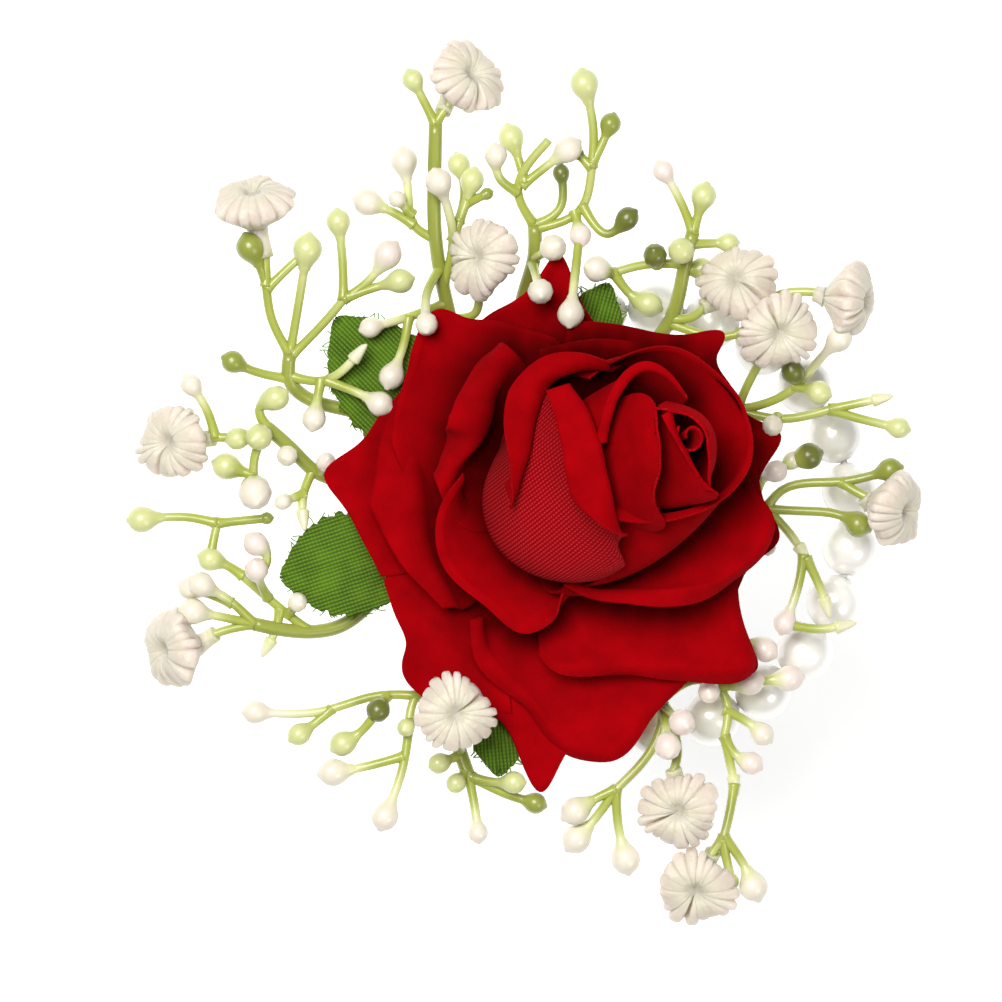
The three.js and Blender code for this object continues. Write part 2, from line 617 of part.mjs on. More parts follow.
// nearest point to p on any of the stems
function nearest(p, stems) {
  let best = null;
  let reach = Infinity;
  stems.forEach((path) => {
    for (let i = 0; i + 1 < path.length; i += 1) {
      const line = new THREE.Line3(path[i], path[i + 1]);
      const flatP = p.clone();
      for (let f = 0; f <= 1; f += 0.125) {
        const q = line.at(f, new THREE.Vector3());
        flatP.z = q.z;
        const d = q.distanceTo(flatP);
        if (d < reach - 1e-6) {
          reach = d;
          best = q;
        }
      }
    }
  });
  return best;
}

// stems of a sprig: the trunk, then each twig from the nearest stem, rising evenly
function stemsOf(sprig) {
  const turn = sprig.slot * RAD;
  const root = new THREE.Vector3(
    MOUND_X + ROOT_R * Math.cos(turn),
    MOUND_Y + ROOT_R * Math.sin(turn),
    ROOT_Z,
  );
  const trunk = [root].concat(sprig.trunk.map((p) => new THREE.Vector3(...p)));
  const paths = [trunk];
  const stems = [{ path: trunk, stemR: TRUNK_R, bud: 0 }];
  sprig.twigs.forEach(([bud, endZ, points]) => {
    const flat = points.map((p) => new THREE.Vector3(p[0], p[1], 0));
    const start = nearest(flat[0], paths);
    const far = flat[0].distanceTo(new THREE.Vector3(start.x, start.y, 0));
    const rest = far < TRUNK_R ? flat.slice(1) : flat;
    const path = [start.clone()].concat(rest);
    const lengths = [0];
    for (let i = 1; i < path.length; i += 1) {
      const dx = path[i].x - path[i - 1].x;
      const dy = path[i].y - path[i - 1].y;
      lengths.push(lengths[i - 1] + Math.hypot(dx, dy));
    }
    const total = lengths[lengths.length - 1];
    path.forEach((p, i) => {
      p.z = start.z + ((endZ - start.z) * lengths[i]) / total;
    });
    paths.push(path);
    stems.push({ path, stemR: TWIG_R, bud });
  });
  return stems;
}

// sprig solid, every radius grown by extra
function sprigSolid(sprig, extra) {
  const parts = stemsOf(sprig).map((stem) => {
    const shape = stem.bud > 0
      ? budded(stem.path, stem.stemR, stem.bud)
      : { path: stem.path, radii: stem.path.map(() => stem.stemR) };
    const sides = stem.stemR === TRUNK_R ? TRUNK_SIDES : TUBE_SIDES;
    return tube(shape.path, shape.radii.map((r) => r + extra), sides);
  });
  return biggest(wasm.Manifold.union(parts));
}

// rings of a profile [radius, height] joined round; radius 0 is a point on the axis
function roundSolid(profile, x, y, sides) {
  const points = [];
  const triangles = [];
  const starts = profile.map(([r, z]) => {
    const first = points.length;
    const count = r === 0 ? 1 : sides;
    for (let k = 0; k < count; k += 1) {
      const turn = (TAU * k) / sides;
      points.push(new THREE.Vector3(x + r * Math.cos(turn), y + r * Math.sin(turn), z));
    }
    return { first, count };
  });
  for (let i = 0; i + 1 < starts.length; i += 1) {
    const a = starts[i];
    const b = starts[i + 1];
    for (let k = 0; k < sides; k += 1) {
      const next = (k + 1) % sides;
      const a0 = a.first + (a.count === 1 ? 0 : k);
      const a1 = a.first + (a.count === 1 ? 0 : next);
      const b0 = b.first + (b.count === 1 ? 0 : k);
      const b1 = b.first + (b.count === 1 ? 0 : next);
      if (a.count > 1) {
        triangles.push(a0, a1, b0);
      }
      if (b.count > 1) {
        triangles.push(a1, b1, b0);
      }
    }
  }
  return outward(points, triangles);
}

// middle of the rose at a height: the axis leans to one side
function axisAt(z) {
  return [AXIS_X + LEAN_X * (z - AXIS_Z), AXIS_Y + LEAN_Y * (z - AXIS_Z)];
}

// point at a share of a line of points, straight between them
function alongLine(points, share) {
  const at = Math.min(Math.max(share, 0), 1) * (points.length - 1);
  const i = Math.min(Math.floor(at), points.length - 2);
  return points[i].clone().lerp(points[i + 1], at - i);
}

// the lines a petal is built on, one point of each for every rim point
function petalLines(petal, index) {
  const raised = (p) => new THREE.Vector3(p[0], p[1], MOUND_TOP + p[2]);
  const rim = petal.rim.map(raised);
  const runs = [0];
  for (let i = 1; i < rim.length; i += 1) {
    runs.push(runs[i - 1] + rim[i].distanceTo(rim[i - 1]));
  }
  const shares = runs.map((run) => run / runs[runs.length - 1]);
  const ring = (share, radius, z) => {
    const turn = (petal.foot[0] + (petal.foot[1] - petal.foot[0]) * share) * RAD;
    const [x, y] = axisAt(z);
    return new THREE.Vector3(x + radius * Math.cos(turn), y + radius * Math.sin(turn), z);
  };
  const foot = shares.map((s) => ring(s, FOOT_R - FOOT_STEP * index, layerFoot(index)));
  const [first] = petal.belly;
  const belly = first.length === 2
    ? shares.map((s) => ring(s, first[0], MOUND_TOP + first[1]))
    : shares.map((s) => alongLine(petal.belly.map(raised), s));
  return { foot, belly, rim };
}

// parabola from the foot through the belly to the rim: u across from -1 to 1, v from 0 to 1
function petalPoint(lines, u, v) {
  const share = (u + 1) / 2;
  const p = alongLine(lines.foot, share).multiplyScalar((1 - v) * (1 - 2 * v));
  p.addScaledVector(alongLine(lines.belly, share), 4 * v * (1 - v));
  return p.addScaledVector(alongLine(lines.rim, share), v * (2 * v - 1));
}

// value given at both ends and the middle
function between(values, share) {
  return share < 0.5
    ? values[0] + (values[1] - values[0]) * share * 2
    : values[1] + (values[2] - values[1]) * (share * 2 - 1);
}

// folded rim: a lap on the petal, an arc outwards, then the flap
function flapPoint(petal, lines, u, v) {
  const share = (u + 1) / 2;
  const step = 0.02;
  const rim = alongLine(lines.rim, share);
  const low = Math.max(0, share - step);
  const ahead = alongLine(lines.rim, Math.min(1, share + step)).sub(alongLine(lines.rim, low));
  const onward = petalPoint(lines, u, 1).sub(petalPoint(lines, u, 1 - step)).normalize();
  const out = new THREE.Vector3().crossVectors(ahead, onward).normalize();
  const [radius, ...turns] = petal.curl;
  const most = between(turns, share) * RAD;
  const row = v * FLAP_NV;
  const turn = most * Math.min(Math.max((row - 1) / 2, 0), 1);
  const flap = between(petal.flap, share) * Math.max(0, row - 3) - FLAP_LAP * Math.max(0, 1 - row);
  rim.addScaledVector(onward, radius * Math.sin(turn) + flap * Math.cos(turn));
  return rim.addScaledVector(out, radius * (1 - Math.cos(turn)) + flap * Math.sin(turn));
}

// closed sheet of even thickness on a surface of u from -1 to 1 and v from 0 to 1
function sheet(surface, thickness, nu, nv) {
  const top = [];
  const low = [];
  const step = 1e-3;
  for (let i = 0; i <= nu; i += 1) {
    for (let j = 0; j <= nv; j += 1) {
      const u = (2 * i) / nu - 1;
      const v = j / nv;
      const du = surface(u + step, v).sub(surface(u - step, v));
      const dv = surface(u, v + step).sub(surface(u, v - step));
      const normal = new THREE.Vector3().crossVectors(du, dv).normalize();
      const p = surface(u, v);
      top.push(p.clone().addScaledVector(normal, thickness / 2));
      low.push(p.clone().addScaledVector(normal, -thickness / 2));
    }
  }
  const row = nv + 1;
  const count = top.length;
  const triangles = [];
  for (let i = 0; i < nu; i += 1) {
    for (let j = 0; j < nv; j += 1) {
      const a = i * row + j;
      const quad = [a, a + row, a + row + 1, a, a + row + 1, a + 1];
      triangles.push(...quad);
      triangles.push(...flip(quad.map((k) => k + count)));
    }
  }
  const border = [];
  for (let i = 0; i < nu; i += 1) {
    border.push(i * row);
  }
  for (let j = 0; j < nv; j += 1) {
    border.push(nu * row + j);
  }
  for (let i = nu; i > 0; i -= 1) {
    border.push(i * row + nv);
  }
  for (let j = nv; j > 0; j -= 1) {
    border.push(j);
  }
  border.forEach((a, k) => {
    const b = border[(k + 1) % border.length];
    triangles.push(a, a + count, b, b, a + count, b + count);
  });
  return outward(top.concat(low), triangles);
}

// ring round the leaning core
function collar(z, thickness, outer, inner) {
  const [x, y] = axisAt(z);
  const half = thickness / 2;
  return roundSolid([
    [inner, z - half], [outer, z - half], [outer, z + half], [inner, z + half], [inner, z - half],
  ], x, y, ROUND_SIDES / 2);
}

// leaning peg between two heights
function leaningPeg(radius, low, high) {
  const ends = [low, high].map((z) => new THREE.Vector3(...axisAt(z), z));
  return tube(ends, [radius, radius], ROUND_SIDES / 2);
}

function layerFoot(index) {
  return LAYER_Z + LAYER_STEP * index;
}

// petals of one layer, thicker by extra, without the collar
function layerPetals(index, extra) {
  const parts = [];
  Object.values(LAYERS[index]).forEach((petal) => {
    const lines = petalLines(petal, index);
    const nu = petal.rim.length - 1;
    parts.push(sheet((u, v) => petalPoint(lines, u, v), PETAL_T + extra, nu, PETAL_NV));
    if (petal.curl) {
      const folded = petal.folded || petal.rim.length;
      const cut = (line) => line.slice(0, folded);
      const bent = { foot: cut(lines.foot), belly: cut(lines.belly), rim: cut(lines.rim) };
      const flap = (u, v) => flapPoint(petal, bent, u, v);
      parts.push(sheet(flap, FLAP_T + extra, folded - 1, FLAP_NV));
    }
  });
  return wasm.Manifold.union(parts);
}

// rolled bud: a strip wound in a spiral on a small foot
function budPoint(u, v) {
  const low = layerFoot(LAYERS.length) + PETAL_T / 2;
  const f = (u + 1) / 2;
  const z = low + (BUD_TOP - low) * v * (1 - BUD_SLOPE * f * f);
  const swell = 1 + BUD_SWELL * Math.sin(Math.PI * Math.min(v, 1));
  const waist = BUD_WAIST + (1 - BUD_WAIST) * Math.sqrt(Math.max(v, 0));
  const r = (BUD_BORE + (BUD_R - BUD_BORE) * f) * swell * waist;
  const turn = TAU * BUD_TURNS * f + BUD_START * RAD;
  const [x, y] = axisAt(z);
  return new THREE.Vector3(
    x + BUD_SHIFT * v + r * Math.cos(turn),
    y - (BUD_SHIFT / 2) * v + r * Math.sin(turn),
    z,
  );
}

// half width along a leaf as a share of the widest: a sine up to there, then a rounded tip
function leafWidth(v) {
  const rise = Math.max(0, v) / LEAF_WIDEST;
  if (rise < 1) return Math.sin((Math.PI / 2) * rise) ** LEAF_SWELL;
  const end = (v - LEAF_WIDEST) / (1 - LEAF_WIDEST);
  return Math.max(0, 1 - end ** LEAF_ROUND) ** LEAF_CLOSE;
}

// leaf: half width swells and closes to the tip, edges a little lower than the rib
function leafPoint(leaf, u, v) {
  const [x, y] = axisAt(LEAF_Z);
  const along = new THREE.Vector2(leaf.tip[0] - x, leaf.tip[1] - y);
  const length = along.length();
  along.normalize();
  const run = LEAF_START + (length - LEAF_START) * v;
  const shape = leafWidth(v);
  const half = LEAF_NECK + leaf.half * shape;
  const z = LEAF_Z + LEAF_LIFT * v - LEAF_DROOP * Math.abs(u) * shape;
  return new THREE.Vector3(
    x + along.x * run - along.y * half * u,
    y + along.y * run + along.x * half * u,
    z,
  );
}

// flower head: a lobed ball with a dimple on top, on a neck turned to the sprig
function headSolid(at, from) {
  const centre = new THREE.Vector3(...at);
  const neck = new THREE.Vector3(...from);
  const axis = new THREE.Vector3().subVectors(centre, neck).normalize();
  const side = new THREE.Vector3().crossVectors(axis, new THREE.Vector3(0, 0.3, 1)).normalize();
  const other = new THREE.Vector3().crossVectors(axis, side);
  const length = centre.distanceTo(neck);
  const rings = [[-length, NECK_R], [-NECK_TOP * HEAD_R, NECK_R * NECK_FLARE]];
  for (let j = 1; j < HEAD_NV; j += 1) {
    const lift = (Math.PI * j) / HEAD_NV - Math.PI / 2;
    rings.push([HEAD_FLAT * HEAD_R * Math.sin(lift), HEAD_R * Math.cos(lift)]);
  }
  rings.push([HEAD_DIMPLE_Z * HEAD_R, HEAD_DIMPLE_R * HEAD_R]);
  const points = [];
  const sides = HEAD_NU;
  rings.forEach(([h, r], i) => {
    for (let k = 0; k < sides; k += 1) {
      const turn = (TAU * k) / sides;
      const lobe = i > 1 && k % 2 ? 1 - HEAD_LOBE : 1;
      const p = centre.clone().addScaledVector(axis, h);
      p.addScaledVector(side, r * lobe * Math.cos(turn));
      points.push(p.addScaledVector(other, r * lobe * Math.sin(turn)));
    }
  });
  const triangles = [];
  for (let i = 0; i + 1 < rings.length; i += 1) {
    for (let k = 0; k < sides; k += 1) {
      const a = i * sides + k;
      const b = i * sides + ((k + 1) % sides);
      triangles.push(a, b, a + sides, b, b + sides, a + sides);
    }
  }
  const last = (rings.length - 1) * sides;
  for (let k = 1; k + 1 < sides; k += 1) {
    triangles.push(0, k + 1, k, last, last + k, last + k + 1);
  }
  return outward(points, triangles);
}

// half angle of the ring's gap where the cord runs straight through the pad
const GAP_TURN = Math.asin(CHORD_HALF / RING_R);

function ringPoint(turn) {
  return new THREE.Vector3(RING_X + RING_R * Math.cos(turn), RING_R * Math.sin(turn), CORD_Z);
}

// middle of a pearl: the pearls share the arc evenly
function pearlTurn(index) {
  const arc = TAU - 2 * GAP_TURN;
  return Math.PI + GAP_TURN + (arc * (index + 0.5)) / PEARL_COUNT;
}

// closed loop of the elastic cord
function cordSolid(radius) {
  const loop = [];
  for (let i = 0; i <= CORD_STEPS; i += 1) {
    const arc = TAU - 2 * GAP_TURN;
    loop.push(ringPoint(Math.PI + GAP_TURN + (arc * i) / CORD_STEPS));
  }
  const points = [];
  const triangles = [];
  const n = loop.length;
  loop.forEach((p, i) => {
    const along = new THREE.Vector3().subVectors(loop[(i + 1) % n], loop[(i + n - 1) % n]);
    const out = new THREE.Vector3(along.y, -along.x, 0).normalize();
    for (let k = 0; k < TUBE_SIDES; k += 1) {
      const turn = (TAU * k) / TUBE_SIDES;
      const q = p.clone().addScaledVector(out, radius * Math.cos(turn));
      q.z += radius * Math.sin(turn);
      points.push(q);
    }
  });
  for (let i = 0; i < n; i += 1) {
    for (let k = 0; k < TUBE_SIDES; k += 1) {
      const next = (k + 1) % TUBE_SIDES;
      const a = i * TUBE_SIDES + k;
      const b = i * TUBE_SIDES + next;
      const c = ((i + 1) % n) * TUBE_SIDES + k;
      const d = ((i + 1) % n) * TUBE_SIDES + next;
      triangles.push(a, b, c, b, d, c);
    }
  }
  return outward(points, triangles);
}

// pearl: a ball with a hole along the cord
function pearlSolid(index) {
  const turn = pearlTurn(index);
  const radius = PEARL_D / 2;
  const open = Math.asin(PEARL_HOLE_R / radius);
  const profile = [];
  for (let j = 0; j <= PEARL_RINGS; j += 1) {
    const lift = open + ((Math.PI - 2 * open) * j) / PEARL_RINGS;
    profile.push([radius * Math.sin(lift), -radius * Math.cos(lift)]);
  }
  profile.push(profile[0]);
  const upright = roundSolid(profile, 0, 0, PEARL_SIDES);
  const at = ringPoint(turn);
  return upright.rotate([90, 0, turn / RAD]).translate([at.x, at.y, at.z]);
}

const group = new THREE.Group();
group.name = 'wrist_corsage';

function add(name, manifold, color, roughness) {
  const geometry = geometryOf(manifold);
  geometry.computeVertexNormals();
  const material = new THREE.MeshStandardMaterial({ color, roughness });
  const mesh = new THREE.Mesh(geometry, material);
  mesh.name = name;
  group.add(mesh);
}

// pad
const disc = (r, low, high, x = 0, y = 0) => roundSolid(
  [[0, low], [r, low], [r, high], [0, high]],
  x,
  y,
  ROUND_SIDES,
);
const cord = cordSolid(CORD_R);
const channel = cordSolid(CORD_R + GAP);
add('felt_backing', disc(FELT_R, 0, FELT_T), '#3f6b3a', 0.95);
add('glue_puck', disc(PUCK_R, FELT_T, PUCK_TOP).subtract(channel), '#d9d4c4', 0.4);
add('felt_top', disc(FELT_R, PUCK_TOP, PAD_TOP), '#3f6b3a', 0.95);

// sprigs and the mound that holds them
const sprigs = Object.entries(SPRIGS).map(([name, sprig]) => ({
  name,
  body: sprigSolid(sprig, 0),
  grown: sprigSolid(sprig, SOCKET_GAP),
}));
const allGrown = wasm.Manifold.union(sprigs.map((s) => s.grown));
const core = leaningPeg(CORE_R, CORE_LOW, layerFoot(LAYERS.length) + PETAL_T);
const coreGrown = leaningPeg(CORE_R + GAP, CORE_LOW - GAP, BUD_TOP);
const mound = roundSolid(
  [[0, PAD_TOP], [MOUND_R, PAD_TOP], [MOUND_TOP_R, MOUND_TOP], [0, MOUND_TOP]],
  MOUND_X,
  MOUND_Y,
  ROUND_SIDES,
);
add('glue_mound', biggest(mound.subtract(allGrown).subtract(coreGrown)), '#d9d4c4', 0.4);
sprigs.forEach((s) => add(s.name, s.body, '#9fb24a', 0.35));

// rose
add('rose_core', core, '#7f9a4a', 0.5);
const calyx = collar(CALYX_Z, CALYX_T, CALYX_R, CORE_R + GAP);
add('calyx', calyx.subtract(coreGrown), '#5f8a35', 0.6);
const layers = LAYERS.map((petals, i) => {
  const lip = FOOT_R - FOOT_STEP * i + COLLAR_LIP;
  const ring = collar(layerFoot(i), PETAL_T, lip, CORE_R + GAP);
  return layerPetals(i, 0).add(ring).subtract(coreGrown);
});
const grownLayers = LAYERS.map((petals, i) => {
  const lip = FOOT_R - FOOT_STEP * i + COLLAR_LIP + GAP;
  const ring = collar(layerFoot(i), PETAL_T + 2 * GAP, lip, CORE_R);
  return layerPetals(i, 2 * GAP).add(ring);
});
// from the inside out, so that each layer is trimmed by the finished one it wraps
let inner = null;
for (let i = LAYERS.length - 1; i >= 0; i -= 1) {
  let body = layers[i].subtract(allGrown);
  if (inner) {
    body = body.subtract(grownLayers[i + 1]).subtract(layerPetals(i + 1, FOLD_GAP));
  }
  body = biggest(body).asOriginal().simplify(TIDY);
  inner = inner ? biggest(body.subtract(inner)) : body;
  add(`rose_layer_${i + 1}`, inner, '#a8000f', 0.9);
}
const budLip = FOOT_R - FOOT_STEP * LAYERS.length;
const budFoot = collar(layerFoot(LAYERS.length) + GAP, PETAL_T, budLip, CORE_R + GAP);
const bud = sheet(budPoint, PETAL_T, BUD_NU, BUD_NV).add(budFoot).subtract(grownLayers[LAYERS.length - 1]);
add('rose_bud', biggest(bud.subtract(coreGrown)), '#a8000f', 0.9);

// leaves
Object.entries(LEAVES).forEach(([name, leaf]) => {
  const body = sheet((u, v) => leafPoint(leaf, u, v), LEAF_T, LEAF_NU, LEAF_NV);
  add(name, biggest(body.subtract(allGrown).subtract(coreGrown)), '#3a7a1e', 0.9);
});

// flower heads, each with a socket for its peg
HEADS.forEach(([at, from], i) => {
  const name = `head_${String(i + 1).padStart(2, '0')}`;
  add(name, biggest(headSolid(at, from).subtract(allGrown)), '#efe9dd', 0.4);
});

// bracelet
add('elastic_cord', cord, '#f4f2ee', 0.6);
for (let i = 0; i < PEARL_COUNT; i += 1) {
  add(`pearl_${String(i + 1).padStart(2, '0')}`, pearlSolid(i), '#f4f1ea', 0.15);
}

export default group;
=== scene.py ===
"""Looks of the wrist corsage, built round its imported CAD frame.

Each new piece is a surface of two parameters on a numpy grid, or a profile carried along
a path. Tables are in millimetres, in the frame of the CAD, and become metres in the mesh.
"""
import math

import bmesh
import bpy
import numpy as np
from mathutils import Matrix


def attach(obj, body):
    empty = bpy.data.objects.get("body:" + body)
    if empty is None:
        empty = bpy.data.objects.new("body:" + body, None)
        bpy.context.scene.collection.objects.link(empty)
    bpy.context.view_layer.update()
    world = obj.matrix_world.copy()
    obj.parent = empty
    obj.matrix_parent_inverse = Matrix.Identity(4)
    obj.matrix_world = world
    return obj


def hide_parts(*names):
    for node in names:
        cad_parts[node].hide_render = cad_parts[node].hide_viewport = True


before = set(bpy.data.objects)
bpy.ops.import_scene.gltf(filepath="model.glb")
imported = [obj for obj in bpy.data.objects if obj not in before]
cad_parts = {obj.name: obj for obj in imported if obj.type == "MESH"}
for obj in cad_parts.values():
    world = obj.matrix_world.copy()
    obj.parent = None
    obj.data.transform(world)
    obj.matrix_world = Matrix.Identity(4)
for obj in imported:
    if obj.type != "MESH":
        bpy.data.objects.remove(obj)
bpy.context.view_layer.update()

bl_info = {
    "name": "Wrist corsage",
    "version": (1, 0, 0),
    "blender": (4, 5, 0),
    "location": "3D View > Sidebar > Corsage",
    "description": "Builds a flannel rose corsage on an elastic bracelet of faux pearls",
    "category": "Add Mesh",
}

MM = 0.001
TAU = 2 * math.pi
FLOWER = "flower"
BRACELET = "bracelet"

# rose axis, as in the CAD: it leans by a shear from a point above the pad
AXIS = np.array([8.0, -2.0])
AXIS_Z = 14.0
LEAN = np.array([0.7, 0.42])
FOOT_R, FOOT_STEP = 5.4, 0.5
LAYER_Z, LAYER_STEP = 16.7, 1.35

# painted shade in the folds: reach seen from above, height where it starts, height that fills it
FOLD_REACH, FOLD_START, FOLD_DEPTH = 3.7, 1.2, 7.0
# only every so many grid places of the cloth above count
FOLD_SKIP = 5

# grid counts of a petal: across, foot to rim, round the curl, along the flap
PETAL_GRID = (61, 30, 12, 8)
# waves across a petal in its two ripples
RIPPLES = (1.7, 4.3)
# collar of a layer: radius of its hole, width beyond the petals' feet, sides
COLLAR_HOLE_R, COLLAR_WIDTH, COLLAR_SIDES = 1.9, 0.4, 48


# Petals

# A petal has a foot on its layer's collar between two directions in degrees, a belly as
# radius and height or as points, and the line where its rim starts to curl as points,
# all counter-clockwise seen from above. curl = (radius, turn in degrees at the rim's start,
# middle and end), flap = cloth beyond the curl at the same three places, wave = ripple,
# faces = finish of its two sides and its edge where the back isn't brushed as well.
LAYER_1 = {
    "top": dict(
        foot=(50, 118), belly=(16, 17.6), flap=(0, 0.5, 0), curl=(1.5, 20, 30, 20), wave=0.35,
        rim=[(27, 21, 18.2), (20.3, 26.6, 18.6), (17.6, 31.4, 18.5), (15.5, 36, 17.6),
             (12.8, 32.6, 18.6), (6.2, 27.6, 18.6), (-1, 22, 18.2)]),
    "right": dict(
        foot=(-18, 55), belly=(16, 17.5), flap=(0, 0.4, 0), curl=(1.5, 20, 40, 20), wave=0.3,
        rim=[(36, -6, 18), (41.6, 1.5, 17.8), (43.6, 7.4, 17.6), (45.3, 11.4, 17.2),
             (41.4, 13.6, 18), (37, 19, 18.4), (30, 22, 18.2)]),
    "corner": dict(
        foot=(-62, -4), belly=(16, 17.5), flap=(0, 0.4, 0), curl=(1.5, 20, 35, 20), wave=0.3,
        rim=[(26, -22, 17.6), (35.5, -21.8, 17.6), (42.3, -20.5, 17), (40.4, -16, 17.8),
             (38.8, -11.5, 18.2), (40.8, -7, 18.2), (38, 0, 18)]),
    "low_tip": dict(
        foot=(-118, -62), belly=(16, 17.2), flap=(0, 0.4, 0), curl=(1.5, 20, 35, 20), wave=0.3,
        rim=[(-1, -20, 17.5), (6.4, -26.4, 17.7), (10.6, -33, 17.4), (13.1, -36.9, 17),
             (15, -33.8, 17.4), (17.6, -30, 17.6), (24, -22, 17.8)]),
    "low_left": dict(
        foot=(-168, -100), belly=(14, 17.6), flap=(0, 0.4, 0), curl=(1.5, 20, 30, 20), wave=0.3,
        rim=[(-8.4, -8, 18.3), (-7, -12.6, 18.3), (-5.5, -17, 18.1), (-5.7, -20.3, 17.8),
             (-3.4, -23.4, 17.7), (3, -26, 17.8), (9, -26.6, 17.9)]),
    "left": dict(
        foot=(128, 206), belly=(14, 17.8), flap=(0, 0.3, 0), curl=(1.2, 20, 30, 20), wave=0.3,
        rim=[(-6, 17.6, 18.6), (-9.4, 13.4, 18.5), (-12.2, 9.8, 18.3), (-16.2, 6.1, 17.8),
             (-14.4, 2.8, 18.2), (-12, -1.4, 18.5), (-8.6, -8, 18.6)]),
    "low_front": dict(
        foot=(-118, -38), belly=(12.5, 17.4), flap=(0.3, 0.8, 0.5), curl=(1.7, 90, 60, 30), wave=0.3,
        rim=[(4.6, -13.6, 21), (5.8, -18.2, 20.4), (11.8, -24.8, 19.5),
             (16.6, -30.8, 18.6), (19.4, -31.8, 18.4), (22.2, -31.8, 18.4), (27, -27, 18.7),
             (31.4, -22.6, 18.9), (36, -18, 19)]),
}
LAYER_2 = {
    "upper_left": dict(
        foot=(70, 176), belly=(14.5, 20), flap=(0, 0.5, 0), curl=(1.8, 20, 40, 30), wave=0.45,
        rim=[(16, 24, 22.4), (6, 26.6, 22.2), (2.4, 27, 22), (-0.6, 27.7, 21.4),
             (-3.4, 24.2, 21.9), (-4.4, 20.6, 22.3), (-6.2, 16, 22.4), (-7.4, 10, 22.3)]),
    "upper_right": dict(
        foot=(8, 84), belly=(14.5, 20), flap=(0, 0.5, 0), curl=(1.6, 20, 40, 20), wave=0.4,
        rim=[(41, 11, 22.6), (38.6, 18.2, 22.4), (36.8, 22.3, 22.1), (37.6, 24.7, 21.6),
             (33, 24.4, 22.2), (26, 25.6, 22.6), (17, 27, 22.6)]),
    "side": dict(
        foot=(-46, 26), belly=(14.5, 20), flap=(0, 0.4, 0), curl=(1.6, 20, 30, 20), wave=0.3,
        rim=[(38.6, -12, 21.6), (42, -6, 22), (45, -2.9, 21.8), (43.2, 2, 22.4),
             (42.2, 7, 22.7), (40, 13, 22.8)]),
    "front": dict(
        foot=(-86, -30), belly=(11.5, 18.7), flap=(0.2, 1, 0.4), curl=(1.8, 40, 90, 30), wave=0.35,
        rim=[(12.8, -17.2, 20.8), (14.6, -19.4, 21.6), (18.4, -20, 22.2), (26, -19.9, 22.2),
             (35.4, -20.4, 21), (40.8, -19.9, 20.4), (39.6, -15, 21.2), (38.8, -10.5, 22),
             (39.6, -5, 22.2)]),
    "left": dict(
        foot=(148, 262), flap=(1.4, 6, 0.2), curl=(1.9, 60, 62, 70), wave=0.3,
        belly=[(-0.6, 13.6, 18.4), (-0.8, 9, 18.8), (0, 4.4, 18.9), (0.4, 0, 18.8), (1, -4.6, 18.7),
               (2.8, -8.4, 18.6), (4.4, -11.2, 18.5)],
        rim=[(-3, 17.4, 19.4), (-4.2, 12, 20.2), (-3.6, 6, 20.9), (-2.8, -0.4, 21), (-1.9, -5, 20.8),
             (0.1, -9.4, 20.4), (1.6, -12.6, 20)]),
}
LAYER_3 = {
    "left": dict(
        foot=(176, 286), belly=(11.2, 22.6), flap=(0.4, 0.6, 0.4), curl=(1.1, 40, 45, 40), wave=0.3,
        rim=[(2.4, 5.4, 26.6), (0.4, 2.2, 26.6), (-0.4, -2.2, 26.4), (1, -6.6, 26),
             (6.8, -11.6, 25.6), (11.4, -14.6, 25.1), (13.8, -13.8, 25), (16.6, -10, 25.2)]),
    "upper_left": dict(
        foot=(96, 196), belly=(12.4, 23.4), flap=(1.8, 3.4, 0.6), curl=(1.9, 125, 128, 96), wave=0.3,
        rim=[(10.2, 22.2, 29.6), (7.4, 18, 29.8), (5.8, 13, 29.2), (3, 8.8, 28.4),
             (0.2, 5.8, 27.4), (-1, 3.8, 26.8)]),
    "back": dict(
        foot=(12, 96), belly=(12.4, 23.6), flap=(0.4, 0.6, 0.4), curl=(1.4, 30, 40, 30), wave=0.3,
        rim=[(39.4, 10, 29), (37.6, 16.4, 29.4), (33.4, 21, 29.6), (27, 23, 29.8),
             (20, 23.6, 29.8), (13, 22.4, 29.4)]),
    "right": dict(
        foot=(-96, 20), belly=(12, 24), flap=(1, 1.6, 0.2), curl=(0.8, 120, 90, 14), wave=0.35,
        rim=[(16.8, -8.6, 27), (19.4, -9.5, 27.6), (24, -9.9, 28), (30, -9.8, 28.3),
             (36, -8.9, 28.1), (40.2, -6.8, 27.6), (43.6, -3, 27.2), (44.2, -0.6, 27.4),
             (42, 3.4, 28), (40, 9, 28.6)]),
}
LAYER_4 = {
    "cup": dict(
        foot=(-86, 112), belly=(13.6, 29.4), flap=(1.4, 0.2, 0.6), curl=(1.2, 130, 12, 30), wave=0.25,
        rim=[(23, 1, 37), (28.6, 0, 37.6), (33.4, 1, 37.9), (38, 3.8, 37.9),
             (40.9, 7.4, 37.7), (41.5, 11.6, 37.8), (40.1, 16.4, 37.9), (36, 20.5, 38.2),
             (31.2, 23, 38.2), (25, 22.4, 37.6), (19, 19.4, 36.8)]),
    "roll": dict(
        foot=(70, 166), flap=(0.1, 2.6, 0), curl=(1.7, 90, 150, 45), wave=0.25,
        belly=[(23.8, 18.2, 29.4), (17.8, 19, 29.4), (12, 17, 29.4), (8.4, 12.6, 29.4), (7.1, 7.4, 29.4)],
        rim=[(23.2, 20.6, 37.6), (18.6, 20.6, 38), (15, 19, 38.3), (12.8, 15.6, 38.2),
             (11.6, 11.4, 37.7), (10.4, 7, 36.6), (9, 2.6, 35)]),
    "tuck": dict(
        foot=(206, 296), belly=(9.6, 25), flap=(0, 0, 0), curl=(0.8, 10, 10, 10), wave=0.15,
        rim=[(7.8, -0.8, 28.2), (10, -4, 28.4), (13.8, -6.4, 28.4), (18.2, -6.8, 28.5),
             (21.8, -6, 28.6)]),
}
